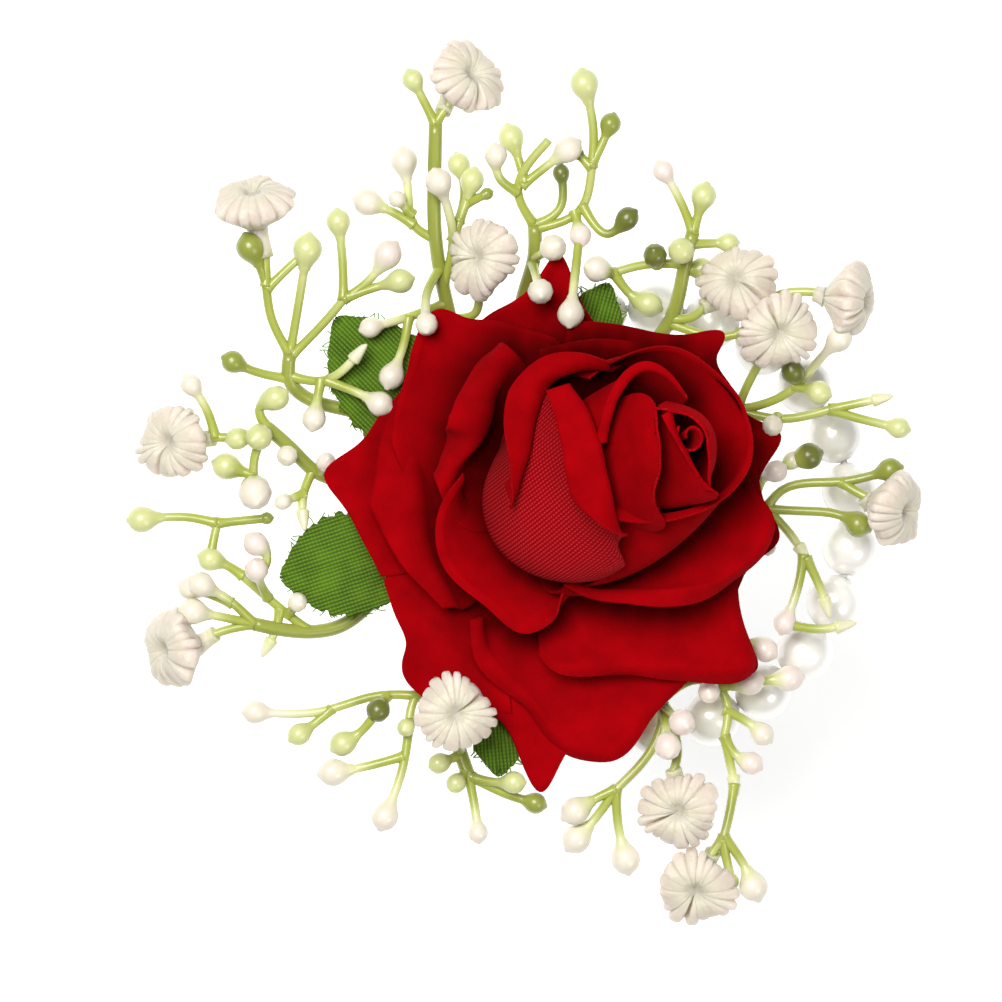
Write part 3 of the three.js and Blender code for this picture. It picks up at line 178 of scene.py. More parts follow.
LAYER_5 = {
    "front": dict(
        foot=(118, 306), flap=(2.6, 5.4, 0.3), curl=(0.8, 150, 168, 60), wave=0.2, faces=(0, 1, 2),
        belly=[(9.2, 12.4, 31.6), (5.8, 5.4, 31), (7, -1.6, 30.4), (11.4, -6.6, 30),
               (17, -8.6, 30.4), (21.6, -7.8, 31.2), (23.6, -6.2, 31.8)],
        rim=[(16.6, 18.4, 40.4), (18.8, 14.8, 41.6), (20.8, 9.6, 42.2), (22.2, 4.2, 41.7),
             (23.2, -1.2, 39.6), (23.6, -4.4, 37)]),
    "fold": dict(
        foot=(40, 176), belly=(9.6, 33), flap=(0, 0.6, 1), curl=(0.6, 40, 120, 150), wave=0.2,
        rim=[(33, 16.4, 42.4), (30.6, 19, 43.2), (27.2, 20.4, 43.6), (24.9, 19, 43.6),
             (22.8, 15.2, 43.2), (21.6, 10.6, 41.8)]),
    "panel": dict(
        foot=(166, 316), flap=(0, 0.3, 0.3), curl=(0.5, 30, 30, 30), wave=0.1,
        belly=[(22.4, 15.4, 38.6), (19.8, 10, 37), (20.4, 4, 36), (24, -0.6, 36), (28, -1.8, 36)],
        rim=[(28.4, 16, 46), (28.9, 11, 46.6), (28.8, 6.4, 46), (28.4, 2.6, 44),
             (29.4, 0.6, 41.4)]),
}
LAYERS = [LAYER_1, LAYER_2, LAYER_3, LAYER_4, LAYER_5]

# Bud: a wall behind, a slanted flap in front, and a strip wound between them
BUD_LAYER = len(LAYERS)
BUD = {
    "wall": dict(
        foot=(-70, 140), flap=(0.1, 0.2, 0.1), curl=(0.5, 20, 30, 20), wave=0.12,
        belly=[(30.4, 2.6, 37), (33, 5, 37.4), (34, 9.4, 37.6), (32, 13, 37.6), (28, 14.4, 37.4)],
        rim=[(35.9, 4.2, 45), (36.1, 7, 46), (35.9, 10.4, 46.5), (34.6, 13.2, 46.7),
             (31.8, 14.8, 46.6), (28.6, 15.2, 46.2)]),
    "flap": dict(
        foot=(110, 330), flap=(0.2, 0.5, 0.2), curl=(0.5, 20, 60, 30), wave=0.12,
        belly=[(28.4, 13.8, 40.4), (27.4, 9, 39.4), (28.2, 4.4, 39), (31, 2.2, 39.4), (34.4, 2.2, 40)],
        rim=[(29.8, 14.4, 46.4), (31.4, 11.8, 46.8), (33, 8.8, 46.8), (34.6, 6, 46.4),
             (36, 4, 45.6)]),
}
# the strip: middle at its top, how far its foot lies off, its narrowing down to the foot, how
# much longer it is along y, and how far its inner end dips
BUD_COIL = dict(
    centre=(33.6, 11.4), shift=(2.0, 1.2), low=38.0, top=46.2, dip=1.2, inner=0.7, outer=2.1,
    narrow=0.3, oval=1.15, turns=1.15, start=200, rows=14, cols=97)

# Leaves: tip and half width, each runs out from under the calyx at the height of LEAF_Z
LEAVES = {
    "leaf_nw": ((-15.6, 28.2), 7.0),
    "leaf_w": ((-23.4, -8.2), 6.9),
    "leaf_n": ((22.6, 33.0), 5.4),
    "leaf_s": ((7.2, -36.0), 5.0),
}
LEAF_Z, LEAF_START, LEAF_NECK, LEAF_LIFT, LEAF_DROOP = 14.2, 5.0, 0.35, 0.2, 0.12
LEAF_TEETH, LEAF_TOOTH = 11, 0.06
LEAF_ROWS, LEAF_COLS = 141, 25
# height of the side ribs and how far they slant, depth and half width of the groove in the middle
RIB_H, RIB_SLANT, GROOVE_DEPTH, GROOVE_WIDTH = 0.28, 1.4, 0.35, 0.09
# the leaf is widest at this share of its length, and its threads lie at this angle to it
LEAF_WIDEST, LEAF_BIAS = 0.66, math.radians(38)
# loose threads at a leaf's border
FRAY_COUNT, FRAY_LENGTH, FRAY_R, FRAY_ROOT, FRAY_SIDES = 44, 1.1, 0.09, 0.5, 5

# Flower heads: middle of the head, then the point where its neck starts
HEADS = [
    ((2.8, 61.4, 21.4), (-0.6, 56.6, 20.5)),
    ((-27, 44.2, 19), (-25.3, 36.4, 17)),
    ((4.9, 36.3, 20.4), (4.5, 31, 15)),
    ((-38.3, 10.8, 16.2), (-32.6, 11.3, 15)),
    ((-38.3, -18.2, 15), (-32.4, -16, 14)),
    ((1.1, -26.9, 25.4), (1.3, -31.2, 19.4)),
    ((40.6, 33, 17), (35.6, 29.6, 15)),
    ((46.1, 26.2, 22.6), (43.4, 21.6, 16.6)),
    ((56.6, 30.6, 17), (51.4, 31.5, 15.4)),
    ((62.6, 1.4, 16.6), (58.2, 3.2, 15)),
    ((32.4, -40.6, 17.4), (31.6, -35, 15)),
    ((34.8, -51.6, 14.4), (37.2, -46.6, 13.6)),
]
HEAD_R, NECK_R = 5.5, 1.9
# directions that the heads' hollows look in
HEAD_FACES = [
    (0.5, 0.35, 0.75), (-0.1, 0.8, 0.55), (-0.5, 0.1, 0.8), (-0.5, -0.05, 0.85),
    (-0.8, -0.1, 0.6), (0.1, -0.05, 1), (-0.2, 0.3, 0.9), (0.1, -0.2, 0.95),
    (0.94, -0.1, 0.3), (0.8, -0.2, 0.5), (-0.15, -0.15, 0.95), (-0.1, -0.3, 0.9),
]
# profile of a head from its back over the rim into the hollow, in head radii: distance from the
# head's axis and height along it
HEAD_PROFILE = [(0, -0.76), (0.26, -0.7), (0.5, -0.52), (0.74, -0.31), (0.93, -0.13), (1.0, 0.02),
                (0.92, 0.19), (0.74, 0.32), (0.5, 0.4), (0.3, 0.38), (0.17, 0.28), (0.08, 0.2), (0, 0.17)]
HEAD_ROWS, HEAD_COLS = 44, 184
LOBES = 18
# how far the notch between two lobes cuts in at the rim, the depth of the groove that runs on from
# it, how unlike the lobes are in length and in height, and the ruffle of the rim, in head radii
LOBE_NOTCH, LOBE_GROOVE = 0.1, 0.05
LOBE_REACH, LOBE_RISE = 0.07, 0.07
RUFFLE = 0.08
# two slow waves in the lobes' widths, in radians, and the distance from the axis where lobes start
LOBE_DRIFT, RIM_START = (0.09, 0.05), 0.4
# a slit on one side of the hollow: depth in head radii and half width in radians
SLIT_DEPTH, SLIT_WIDTH = 0.22, 0.07
# the flared neck: share of its length and radius in neck radii, and where it ends behind the head's
# middle, in head radii
NECK_FLARE = [(0, 0.62), (0.4, 0.64), (0.8, 0.74), (1, 0.84)]
NECK_END = 0.72
NECK_ROWS, NECK_SIDES, NECK_TONES = 8, 16, (0.12, 0.62)

# Sprigs: slot is the direction of the root in the glue mound in degrees, trunk has its
# points, twigs are bud radius, end height and points seen from above, and tones has a
# letter for each twig. A twig grows from the nearest stem and rises evenly.
TONES = {"d": 0.06, "g": 0.3, "p": 0.62, "w": 0.92, "k": 1.0, "c": 0.8, "-": 0.5}
# the letter of a twig that ends in a barbed peg
PEG = "c"
STEM_TONE, TRUNK_TONE = 0.44, 0.34
# a twig takes on the tone of its bud from one share of its length to another
TONE_FROM, TONE_TO = 0.35, 0.9
MOUND = (4.0, -1.0)
TRUNK_R, TWIG_R, ROOT_R, ROOT_Z = 1.0, 0.64, 4.0, 10.3
# where a twig grows out of a stem it is thicker by this share, which fades over this length
FLARE, FLARE_LENGTH = 0.45, 0.9
TRUNK_SIDES, TWIG_SIDES, STEM_SIDE = 12, 10, (0.3, 0.2, 1)
# bud along its twig, as place and radius in bud radii, and the barbed peg in twig radii
BUD_PLACE = [-1.6, -1.3, -1.0, -0.7, -0.4, -0.1, 0.2, 0.5, 0.75, 0.92, 1.0, 1.1]
BUD_RADIUS = [0.4, 0.44, 0.6, 0.8, 0.94, 1.0, 0.97, 0.85, 0.64, 0.36, 0.2, 0.14]
PEG_PLACE = [-4.4, -3.4, -3.2, -3.1, -2, -1, 0, 0.8, 1.4]
PEG_RADIUS = [1.0, 0.9, 0.9, 1.6, 1.4, 1.15, 0.9, 0.6, 0.2]
SPRIGS = {
    "sprig_nne": dict(
        slot=72, tones="-wwpd-pgddwwkw",
        trunk=[(8, 16, 10.3), (11, 32.5, 12.2), (12.2, 37, 14.5), (12.2, 41, 15.6)],
        twigs=[
            (0, 18.5, [(9.9, 45.6), (14, 52.6)]),
            (1.9, 18.5, [(10.4, 46.4), (14.5, 49.7), (17, 51.6)]),
            (1.6, 19.5, [(9.7, 45.8), (7.3, 47.6), (6.8, 50.8)]),
            (1.8, 17, [(10.6, 47), (9.9, 50.4), (8.9, 53.4)]),
            (1.2, 16.4, [(12.3, 40.8), (15.6, 43.2), (15.9, 48.4)]),
            (0, 17.5, [(12.3, 40.7), (18.6, 43.2), (20.2, 49)]),
            (2, 19, [(20.2, 49), (20.4, 54), (19.1, 60.8)]),
            (1.5, 18, [(20.2, 49.6), (21.6, 52.3), (22.8, 55.2)]),
            (0.9, 17.5, [(20.1, 48.8), (18.2, 51)]),
            (1.6, 18.5, [(18.8, 43.6), (22.6, 39.8), (25.2, 42)]),
            (1.9, 20, [(12.3, 36.6), (14.8, 37.8)]),
            (1.8, 23, [(11.6, 36), (13, 31.6)]),
            (1.6, 18, [(18.2, 43), (18.6, 39.5)]),
            (1.9, 22.6, [(18.7, 40), (17.2, 28.4)]),
        ]),
    "sprig_n": dict(
        slot=108, tones="p-wwwwppgwww-",
        trunk=[(2.4, 16, 10.3), (0.4, 28, 12.6), (-0.9, 34, 15), (-1.8, 42, 18),
               (-1.7, 50, 19.5), (-1.6, 55, 20.5)],
        twigs=[
            (1.5, 21.5, [(-1.6, 55), (-4.8, 61.2)]),
            (0, 20.6, [(-1.6, 55), (-0.2, 57.2), (0.4, 58)]),
            (1.9, 18.5, [(-1.5, 38.6), (-4.6, 41), (-5.4, 45), (-6, 50)]),
            (1.9, 18, [(-4.8, 41.2), (-8, 43), (-11.2, 44.2)]),
            (1.2, 19.5, [(-5.2, 42.6), (-7, 44.6)]),
            (1.9, 22.5, [(-0.4, 32.5), (0.8, 39.5), (0, 43.6), (-1.2, 47)]),
            (1.7, 18, [(0.8, 39), (2.6, 44), (3.5, 47.4)]),
            (1.6, 16, [(1.6, 41.6), (2.4, 46), (1.6, 49.6)]),
            (0.9, 17, [(2.6, 44), (5.6, 45.4)]),
            (1.5, 16.6, [(0, 30.4), (-4.6, 28.5), (-10.8, 26.7)]),
            (1.8, 17.6, [(-5, 28.3), (-6, 24.6), (-7.8, 19.8)]),
            (1.6, 24.2, [(-1.2, 35), (-2.8, 31.4), (-2.8, 27)]),
            (0, 15.2, [(0.5, 28), (3.9, 28.8), (4.5, 31.6)]),
        ]),
    "sprig_ne": dict(
        slot=36, tones="kp-wdpppp--",
        trunk=[(17, 12, 10.3), (29, 24.6, 11.4), (31.5, 28.5, 13), (33.2, 35.6, 15.6),
               (34.3, 40, 17)],
        twigs=[
            (1.5, 18.6, [(34.3, 40), (32.4, 44.6), (30.1, 48.6)]),
            (1.8, 18, [(34.3, 40), (34.9, 42), (35.8, 45.2)]),
            (0, 16.2, [(33.2, 35.8), (27, 35.4), (22.8, 34.2)]),
            (1.9, 18, [(23.4, 34.4), (20.8, 34.9)]),
            (1.7, 18.4, [(29.4, 35.6), (29, 36.8)]),
            (1.9, 19.6, [(33.4, 36.2), (32.6, 37.4)]),
            (1.9, 15.6, [(23.2, 34), (26.4, 30.8), (28.2, 30)]),
            (1.4, 15.6, [(33.8, 38.2), (39.4, 38.6)]),
            (1.6, 14.4, [(33.1, 34.8), (35.6, 35)]),
            (0, 15, [(31.4, 28), (34.6, 28.4), (36.2, 30)]),
            (0, 15.6, [(31.2, 27.6), (41.4, 26.4), (45, 30.6), (52.4, 31.6)]),
        ]),
    "sprig_ene": dict(
        slot=0, tones="-wdp-cpw",
        trunk=[(20, 6.5, 10.3), (33, 12, 10.8), (40.5, 15.2, 12.6)],
        twigs=[
            (0, 17, [(40.6, 15.3), (42.4, 19.6), (43.8, 22.2)]),
            (1.8, 18, [(40.6, 15.3), (47.2, 17.4), (50.6, 20.6), (53, 23.4), (54.8, 25.2)]),
            (1.7, 17.6, [(49, 19), (48.2, 20.6)]),
            (1.7, 17, [(48.6, 18.2), (52, 17.6)]),
            (0, 15.5, [(40.5, 14.8), (47, 14), (53.4, 15.3)]),
            (1.1, 16.5, [(53.4, 15.3), (61.4, 17)]),
            (1.5, 15.5, [(53.4, 15.2), (57, 14.2), (63.2, 12.7)]),
            (1.5, 17.4, [(46.6, 14.2), (45.4, 13)]),
        ]),
    "sprig_e": dict(
        slot=-36, tones="g-gckwdkcck",
        trunk=[(20, -2, 10.3), (33, 0.6, 10.5), (42.5, 2, 11.8), (44.6, 1.4, 12.6)],
        twigs=[
            (1.7, 15, [(44.6, 1.6), (46.4, 3.7), (55, 5.2), (62, 6.9)]),
            (0, 15, [(55, 5.1), (57.6, 3.6), (59.4, 2.7)]),
            (1.8, 13.6, [(44.6, 1.4), (50, 1.1), (55.3, 0.4), (57.6, -0.8)]),
            (0.9, 13, [(44.6, 1.2), (47.4, -1.4), (50.2, -5.4)]),
            (1.6, 15.5, [(43, 2.2), (44.6, 6), (46, 6.7)]),
            (1.3, 14.6, [(46.2, 7), (48.3, 8.2)]),
            (1.9, 15, [(48, 7.8), (50.6, 8.8)]),
            (1.6, 13, [(50, -5), (49.2, -9), (47.2, -14.6)]),
            (1.3, 12.6, [(50.2, -5.4), (52.5, -10.5), (53.3, -13)]),
            (1.1, 13, [(47.6, -14.4), (52, -15.4), (56.4, -14.7)]),
            (1.1, 13.6, [(45, 0.6), (44.9, -4)]),
        ]),
    "sprig_se": dict(
        slot=-72, tones="-wwwkk--kcw--wpkkkk",
        trunk=[(14, -13, 10.3), (24, -21, 10.8), (30.4, -26.4, 12.4)],
        twigs=[
            (0, 14, [(30.4, -26.6), (29.4, -30.6), (23.6, -37.8)]),
            (2, 13, [(23.6, -37.8), (23.8, -42), (25, -47.8)]),
            (2, 13, [(23.6, -37.8), (20.6, -42), (18, -44.9)]),
            (2, 14.4, [(23.4, -38), (20.6, -39.2), (17.8, -40.9)]),
            (1.9, 17.4, [(30.5, -26.8), (30.8, -31.8)]),
            (1.9, 18, [(30.2, -26.2), (32.8, -28.4)]),
            (0, 15, [(30.4, -27.6), (32.2, -31.8), (31.4, -36)]),
            (0, 13, [(29.8, -25.8), (36, -22.6), (38.6, -24.4), (38.8, -30.4)]),
            (1.6, 13.5, [(38.8, -30.4), (40.4, -33), (42.6, -34.2)]),
            (1, 12.6, [(38.8, -30.4), (40.4, -38)]),
            (1.6, 12.6, [(38.8, -26.6), (42.8, -29), (44.2, -30.2)]),
            (0, 13.6, [(40.2, -36.8), (39.4, -41.6), (38.7, -44.4)]),
            (0, 13.6, [(38.7, -44.4), (36.6, -47.4)]),
            (2, 13, [(38.8, -44.4), (42, -49.4), (42.9, -51.6)]),
            (1.1, 12.4, [(38.8, -44.8), (39.8, -50.8)]),
            (1.6, 15, [(36.2, -22.8), (36.6, -24.2)]),
            (1.9, 13.6, [(38.2, -23.2), (42.4, -22.8)]),
            (1.9, 12.4, [(42, -22.6), (48, -22.3)]),
            (1.7, 13, [(40.4, -22.8), (43, -17.4), (44.6, -18.4)]),
        ]),
    "sprig_s": dict(
        slot=-108, tones="wpgpp-wwpwpdp-",
        trunk=[(2, -16, 10.3), (0.6, -26, 11), (1.8, -32.6, 12.2), (3, -36, 13)],
        twigs=[
            (1.4, 13.4, [(3.2, -36.2), (4, -41.4), (4.3, -44)]),
            (1.6, 15.2, [(3.2, -36), (6.6, -36.8), (9.4, -36.8)]),
            (1.5, 13, [(3.4, -36.4), (8, -38.4), (12.4, -39.8)]),
            (1.5, 14.2, [(2, -33), (-1.2, -34.2)]),
            (1.4, 14.6, [(2.6, -35), (1.2, -37)]),
            (0, 12.2, [(1, -24), (-4.4, -25), (-5.4, -29)]),
            (1.9, 12.6, [(-5.4, -29), (-6.2, -34.6), (-8.8, -41.8)]),
            (2, 12.2, [(-6, -33.2), (-13, -35), (-16.1, -35.5)]),
            (1.3, 14, [(-5.2, -28.4), (-5.8, -29.2)]),
            (1.7, 12.4, [(-4, -24.6), (-10, -24.8), (-17, -26.8), (-27, -27)]),
            (1.6, 12.6, [(-16, -26.6), (-18.8, -28.8), (-20.8, -30.2)]),
            (1.7, 14, [(-8.6, -24.8), (-9.7, -26.8)]),
            (1.8, 12.6, [(-9.6, -26.8), (-12.6, -30.2), (-14.7, -31.5)]),
            (0, 20, [(1.8, -32.6), (1.3, -30.9)]),
        ]),
    "sprig_w": dict(
        slot=-144, tones="-www-p-pgcwkk",
        trunk=[(-8, -9, 10.3), (-15, -15, 10.6), (-20, -15.8, 11.6), (-27, -14.7, 13.4)],
        twigs=[
            (0, 14, [(-27, -14.7), (-31.4, -15.7), (-33.4, -16.4)]),
            (1.9, 16, [(-27.2, -14.6), (-31, -13.8), (-35.6, -12.9)]),
            (1.8, 17.6, [(-27, -14.6), (-30.4, -11.4), (-34.4, -9.1)]),
            (1.7, 14.4, [(-30, -11.8), (-33, -10.6), (-36, -9.6)]),
            (0, 13.4, [(-19.6, -15.6), (-24, -12), (-28.6, -8)]),
            (1.7, 14.4, [(-28.6, -8), (-31, -6.4), (-33.2, -5.6)]),
            (0, 14.2, [(-33, -5.2), (-32.2, -0.6)]),
            (1.9, 14.6, [(-32, -0.4), (-36, 0.2), (-42.8, -0.1)]),
            (0.9, 13.8, [(-32.1, -0.2), (-25.2, 0.1)]),
            (0.9, 12.4, [(-23.4, -12.6), (-24, -15.4), (-25.6, -18.6)]),
            (1.4, 15, [(-22.4, -13.4), (-20.9, -11.6)]),
            (1.7, 17.6, [(-25.2, -11), (-26.2, -8.6), (-26.6, -7)]),
            (1.7, 17.8, [(-26.2, -8), (-25.2, -5), (-26.8, -3.4)]),
        ]),
    "sprig_wnw": dict(
        slot=180, tones="pppw-wp-wcwk",
        trunk=[(-6, 1.6, 10.3), (-14, 5, 10.7), (-18.4, 6.6, 12), (-21.4, 9.4, 13.4),
               (-25.2, 12.8, 14.6)],
        twigs=[
            (1.8, 16.4, [(-25.2, 12.8), (-26.2, 15.4), (-23.8, 16.9)]),
            (1.9, 17.2, [(-24.8, 12.4), (-26.3, 11.4)]),
            (1.6, 15.6, [(-25.6, 12.4), (-29.4, 11.2)]),
            (1.5, 16.6, [(-21.6, 9.6), (-22.4, 8.8)]),
            (0, 15, [(-25.6, 11.6), (-27, 8), (-27, 5.4)]),
            (2.4, 17.4, [(-27, 5.8), (-26.8, 3.6)]),
            (1.9, 14.6, [(-27.2, 6), (-31, 7.4)]),
            (0, 15, [(-29.6, 11.4), (-32.4, 11.4), (-33.4, 11.3)]),
            (1.5, 16.6, [(-32.4, 11.6), (-33.4, 14.8), (-35.8, 18.8)]),
            (1.1, 14.8, [(-18.8, 7), (-20.2, 3), (-20, -0.8)]),
            (1.2, 15.2, [(-20.3, 3.4), (-23, 2.4)]),
            (1.4, 15.6, [(-17.8, 6.4), (-16.9, 8)]),
        ]),
    "sprig_nw": dict(
        slot=144, tones="g--p-pkpgcww",
        trunk=[(-5, 9.4, 10.3), (-13, 15, 10.7), (-19.4, 16.8, 11.9), (-22.1, 19.6, 13.6),
               (-22, 23, 14.4)],
        twigs=[
            (2, 17.6, [(-22.1, 23), (-24.8, 29), (-25.4, 33), (-27.5, 38)]),
            (0, 17, [(-25.3, 32.6), (-25.3, 36), (-25.5, 38.6)]),
            (0, 16.4, [(-25.1, 31.8), (-22, 35.2), (-20, 37)]),
            (2.1, 17, [(-22, 23), (-20.6, 31), (-19.5, 37.8)]),
            (0, 16.6, [(-21.9, 22.6), (-16, 28.8), (-14.5, 30.6)]),
            (1.7, 17.4, [(-14.5, 30.6), (-14.6, 36), (-15.2, 41.6)]),
            (2, 18, [(-14.5, 30.6), (-11, 33.2), (-8.2, 37)]),
            (1.8, 18, [(-14, 30.8), (-9, 32.6), (-6.4, 33.2)]),
            (1.6, 15.6, [(-22, 19.4), (-27.4, 20.8), (-30, 22)]),
            (0.9, 18, [(-21.9, 20), (-17, 19.4), (-11.8, 23.8)]),
            (1.7, 17, [(-17.8, 19.4), (-18.6, 13.9)]),
            (1.8, 18, [(-17, 19.6), (-12, 17.4), (-9.2, 16)]),
        ]),
}

# Pad and bracelet, as in the CAD
FELT_R, FELT_T, PUCK_R, PUCK_T = 11.2, 1.5, 10.8, 5.0
MOUND_R, MOUND_TOP_R, MOUND_H = 7.0, 6.6, 5.4
CORE_R, CORE_LOW, CALYX_R, CALYX_T, CALYX_Z = 1.5, 12.7, 6.5, 1.0, 15.4
# the core ends this far above the bud's collar, and the calyx has this clearance round it
CORE_OVER, CALYX_GAP = 0.9, 0.05
CALYX_LOBES, CALYX_WAVE, CALYX_ROUND, CALYX_SIDES = 5, 0.07, 0.4, 100
# waves in the outlines of felt and glue as shares of the radius, and rounding of the felt's edge
FELT_RAGGED, PUCK_LUMPS, MOUND_LUMPS, FELT_ROUND = 0.012, 0.03, 0.05, 0.3
FELT_SIDES, GLUE_SIDES = 120, 96
# profiles of the glue: the puck's in shares of its radius and height, the mound's as radius in mm
# and share of its height
PUCK_PROFILE = [(0, 0), (0.93, 0), (1, 0.3), (1, 0.7), (0.93, 1), (0, 1)]
MOUND_PROFILE = [(0, 0), (MOUND_R, 0), (MOUND_R, 0.4), (MOUND_TOP_R, 0.8), (0.7 * MOUND_TOP_R, 1), (0, 1)]
PEARL_R, PEARL_COUNT, PEARL_HOLE_R = 4.0, 20, 0.85
RING_R, RING_X, CORD_R, CORD_Z, CHORD_HALF = 29.7, 27.2, 0.5, 4.0, 12.0
GAP_TURN = math.asin(CHORD_HALF / RING_R)
PEARL_TURN = (TAU - 2 * GAP_TURN) / PEARL_COUNT
# each pearl carries this much of its own turn of cord to both sides, so a stretched ring stays joined
CORD_REACH = 0.68
# the straight run through the pad goes this much of a pearl's turn into the end pearls
CHORD_REACH = 0.2
PEARL_ROWS, PEARL_SIDES, CORD_SIDES, UP = 33, 40, 10, np.array([0.0, 0.0, 1.0])

# Stage: half side of the floor, strength of the room's light, and the soft boxes as name, place,
# side and power, in metres and watts
FLOOR_HALF, ROOM_LIGHT = 3.0, 0.15
SOFT_BOXES = [
    ("softbox_top", (-0.2, 0.25, 0.9), 0.5, 12.5),
    ("softbox_side", (0.6, -0.5, 0.7), 0.4, 3.5),
]


# Numpy surfaces

def unit(vectors):
    """Vectors divided by their lengths."""
    length = np.linalg.norm(vectors, axis=-1, keepdims=True)
    return vectors / np.maximum(length, 1e-9)


def axis_at(z):
    """Middle of the rose at a height: the start plus the lean times the height above it."""
    return AXIS + LEAN * (np.asarray(z)[..., None] - AXIS_Z)


def curve(points, at):
    """Natural cubic spline through points, its parameter the share of the chord length.

    The second derivatives come from one linear system; each span is then the usual
    cubic in the distance from its two ends.
    """
    points = np.asarray(points, float)
    chord = np.linalg.norm(np.diff(points, axis=0), axis=1)
    knots = np.concatenate([[0], np.cumsum(chord)]) / chord.sum()
    step = np.diff(knots)
    count = len(points)
    system = np.eye(count)
    right = np.zeros_like(points)
    inner = np.arange(1, count - 1)
    system[inner, inner - 1] = step[:-1]
    system[inner, inner] = 2 * (step[:-1] + step[1:])
    system[inner, inner + 1] = step[1:]
    slope = np.diff(points, axis=0) / step[:, None]
    right[1:-1] = 6 * (slope[1:] - slope[:-1])
    bend = np.linalg.solve(system, right)
    at = np.asarray(at, float)
    span = np.clip(np.searchsorted(knots, at, side="right") - 1, 0, count - 2)
    h = step[span][:, None]
    a = (knots[span + 1] - at)[:, None]
    b = (at - knots[span])[:, None]
    return (bend[span] * a ** 3 + bend[span + 1] * b ** 3) / (6 * h) + (
        points[span] / h - bend[span] * h / 6) * a + (points[span + 1] / h - bend[span + 1] * h / 6) * b


def grid_quads(rows, cols, wrap=False):
    """Quads of a grid numbered row by row; wrap joins the last column to the first."""
    i = np.arange(rows - 1)[:, None]
    j = np.arange(cols if wrap else cols - 1)[None, :]
    k = (j + 1) % cols
    corners = np.broadcast_arrays(i * cols + j, i * cols + k, (i + 1) * cols + k, (i + 1) * cols + j)
    return np.stack(corners, -1).reshape(-1, 4)


def patch(points, quads, slot=0, uv=None, tone=0.0, flat=False):
    """One stretch of surface: points in mm, quads, material index, cloth place and tone."""
    points = np.asarray(points, float).reshape(-1, 3)
    count = len(points)
    return {
        "points": points,
        "quads": np.asarray(quads, int),
        "slot": np.broadcast_to(np.asarray(slot, int), (len(quads),)),
        "uv": np.zeros((count, 2)) if uv is None else np.asarray(uv, float).reshape(-1, 2),
        "tone": np.broadcast_to(np.asarray(tone, float).ravel(), (count,)),
        "flat": np.broadcast_to(np.asarray(flat, bool), (len(quads),)),
    }


def cloth_places(points):
    """Distance in mm along both grid directions, from the middle column and the first row."""
    across = np.linalg.norm(np.diff(points, axis=1), axis=2)
    across = np.concatenate([np.zeros((len(points), 1)), np.cumsum(across, axis=1)], axis=1)
    across -= across[:, [points.shape[1] // 2]]
    along = np.linalg.norm(np.diff(points, axis=0), axis=2)
    along = np.concatenate([np.zeros((1, points.shape[1])), np.cumsum(along, axis=0)])
    return np.stack([across, along], -1)


def sheet(points, thickness, slots=(0, 1, 2), tone=0.0, places=None):
    """Closed cloth: the grid moved half a thickness to both sides, joined round its border.

    The front is where the row direction crossed with the column direction points.
    """
    places = cloth_places(points) if places is None else places
    rows, cols = points.shape[:2]
    normal = unit(np.cross(np.gradient(points, axis=0), np.gradient(points, axis=1)))
    count = rows * cols
    quads = grid_quads(rows, cols)
    number = np.arange(count).reshape(rows, cols)
    border = np.concatenate([
        number[0, :-1], number[:-1, -1], number[-1, :0:-1], number[:0:-1, 0]])
    after = np.roll(border, -1)
    rim = np.stack([border, border + count, after + count, after], -1)
    both = np.concatenate([points + normal * thickness / 2, points - normal * thickness / 2])
    faces = np.concatenate([quads[:, ::-1], quads + count, rim])
    slot = np.repeat(slots, [len(quads), len(quads), len(rim)])
    places = np.tile(places.reshape(-1, 2), (2, 1))
    tones = np.tile(np.broadcast_to(tone, (rows, cols)).ravel(), 2)
    return patch(both, faces, slot, places, tones, slot == slots[2])


def tube(path, radius, side, sides=12, tone=0.0, slot=0, closed=True):
    """Round profile carried along a path: path + radius (cos across + sin up).

    across is the side vector made square to the path; both ends shrink to a point when
    closed, so the tube has no open end.
    """
    path = np.asarray(path, float)
    radius = np.broadcast_to(np.asarray(radius, float), (len(path), ))
    tone = np.broadcast_to(np.asarray(tone, float), (len(path), ))
    if closed:
        path = np.concatenate([path[:1], path, path[-1:]])
        radius = np.concatenate([[0], radius, [0]])
        tone = np.concatenate([tone[:1], tone, tone[-1:]])
    along = unit(np.gradient(path, axis=0))
    up = unit(np.cross(along, np.broadcast_to(side, path.shape)))
    across = np.cross(up, along)
    turn = np.arange(sides) * TAU / sides
    ring = across[:, None] * np.cos(turn)[None, :, None] + up[:, None] * np.sin(turn)[None, :, None]
    points = path[:, None] + radius[:, None, None] * ring
    quads = grid_quads(len(path), sides, wrap=True)
    return patch(points, quads, slot, None, np.repeat(tone, sides))


def spun(profile, x, y, sides, swell=None, slot=0, tone=0.0):
    """Profile of radius and height turned about an upright line; swell scales each direction."""
    profile = np.asarray(profile, float)
    turn = np.arange(sides) * TAU / sides
    swell = np.ones(sides) if swell is None else swell
    ring = np.stack([np.cos(turn) * swell, np.sin(turn) * swell], -1)
    flat = profile[:, None, :1] * ring[None]
    height = np.broadcast_to(profile[:, None, 1:], flat.shape[:2] + (1,))
    points = np.concatenate([flat + np.array([x, y]), height], -1)
    return patch(points, grid_quads(len(profile), sides, wrap=True), slot, None, tone)


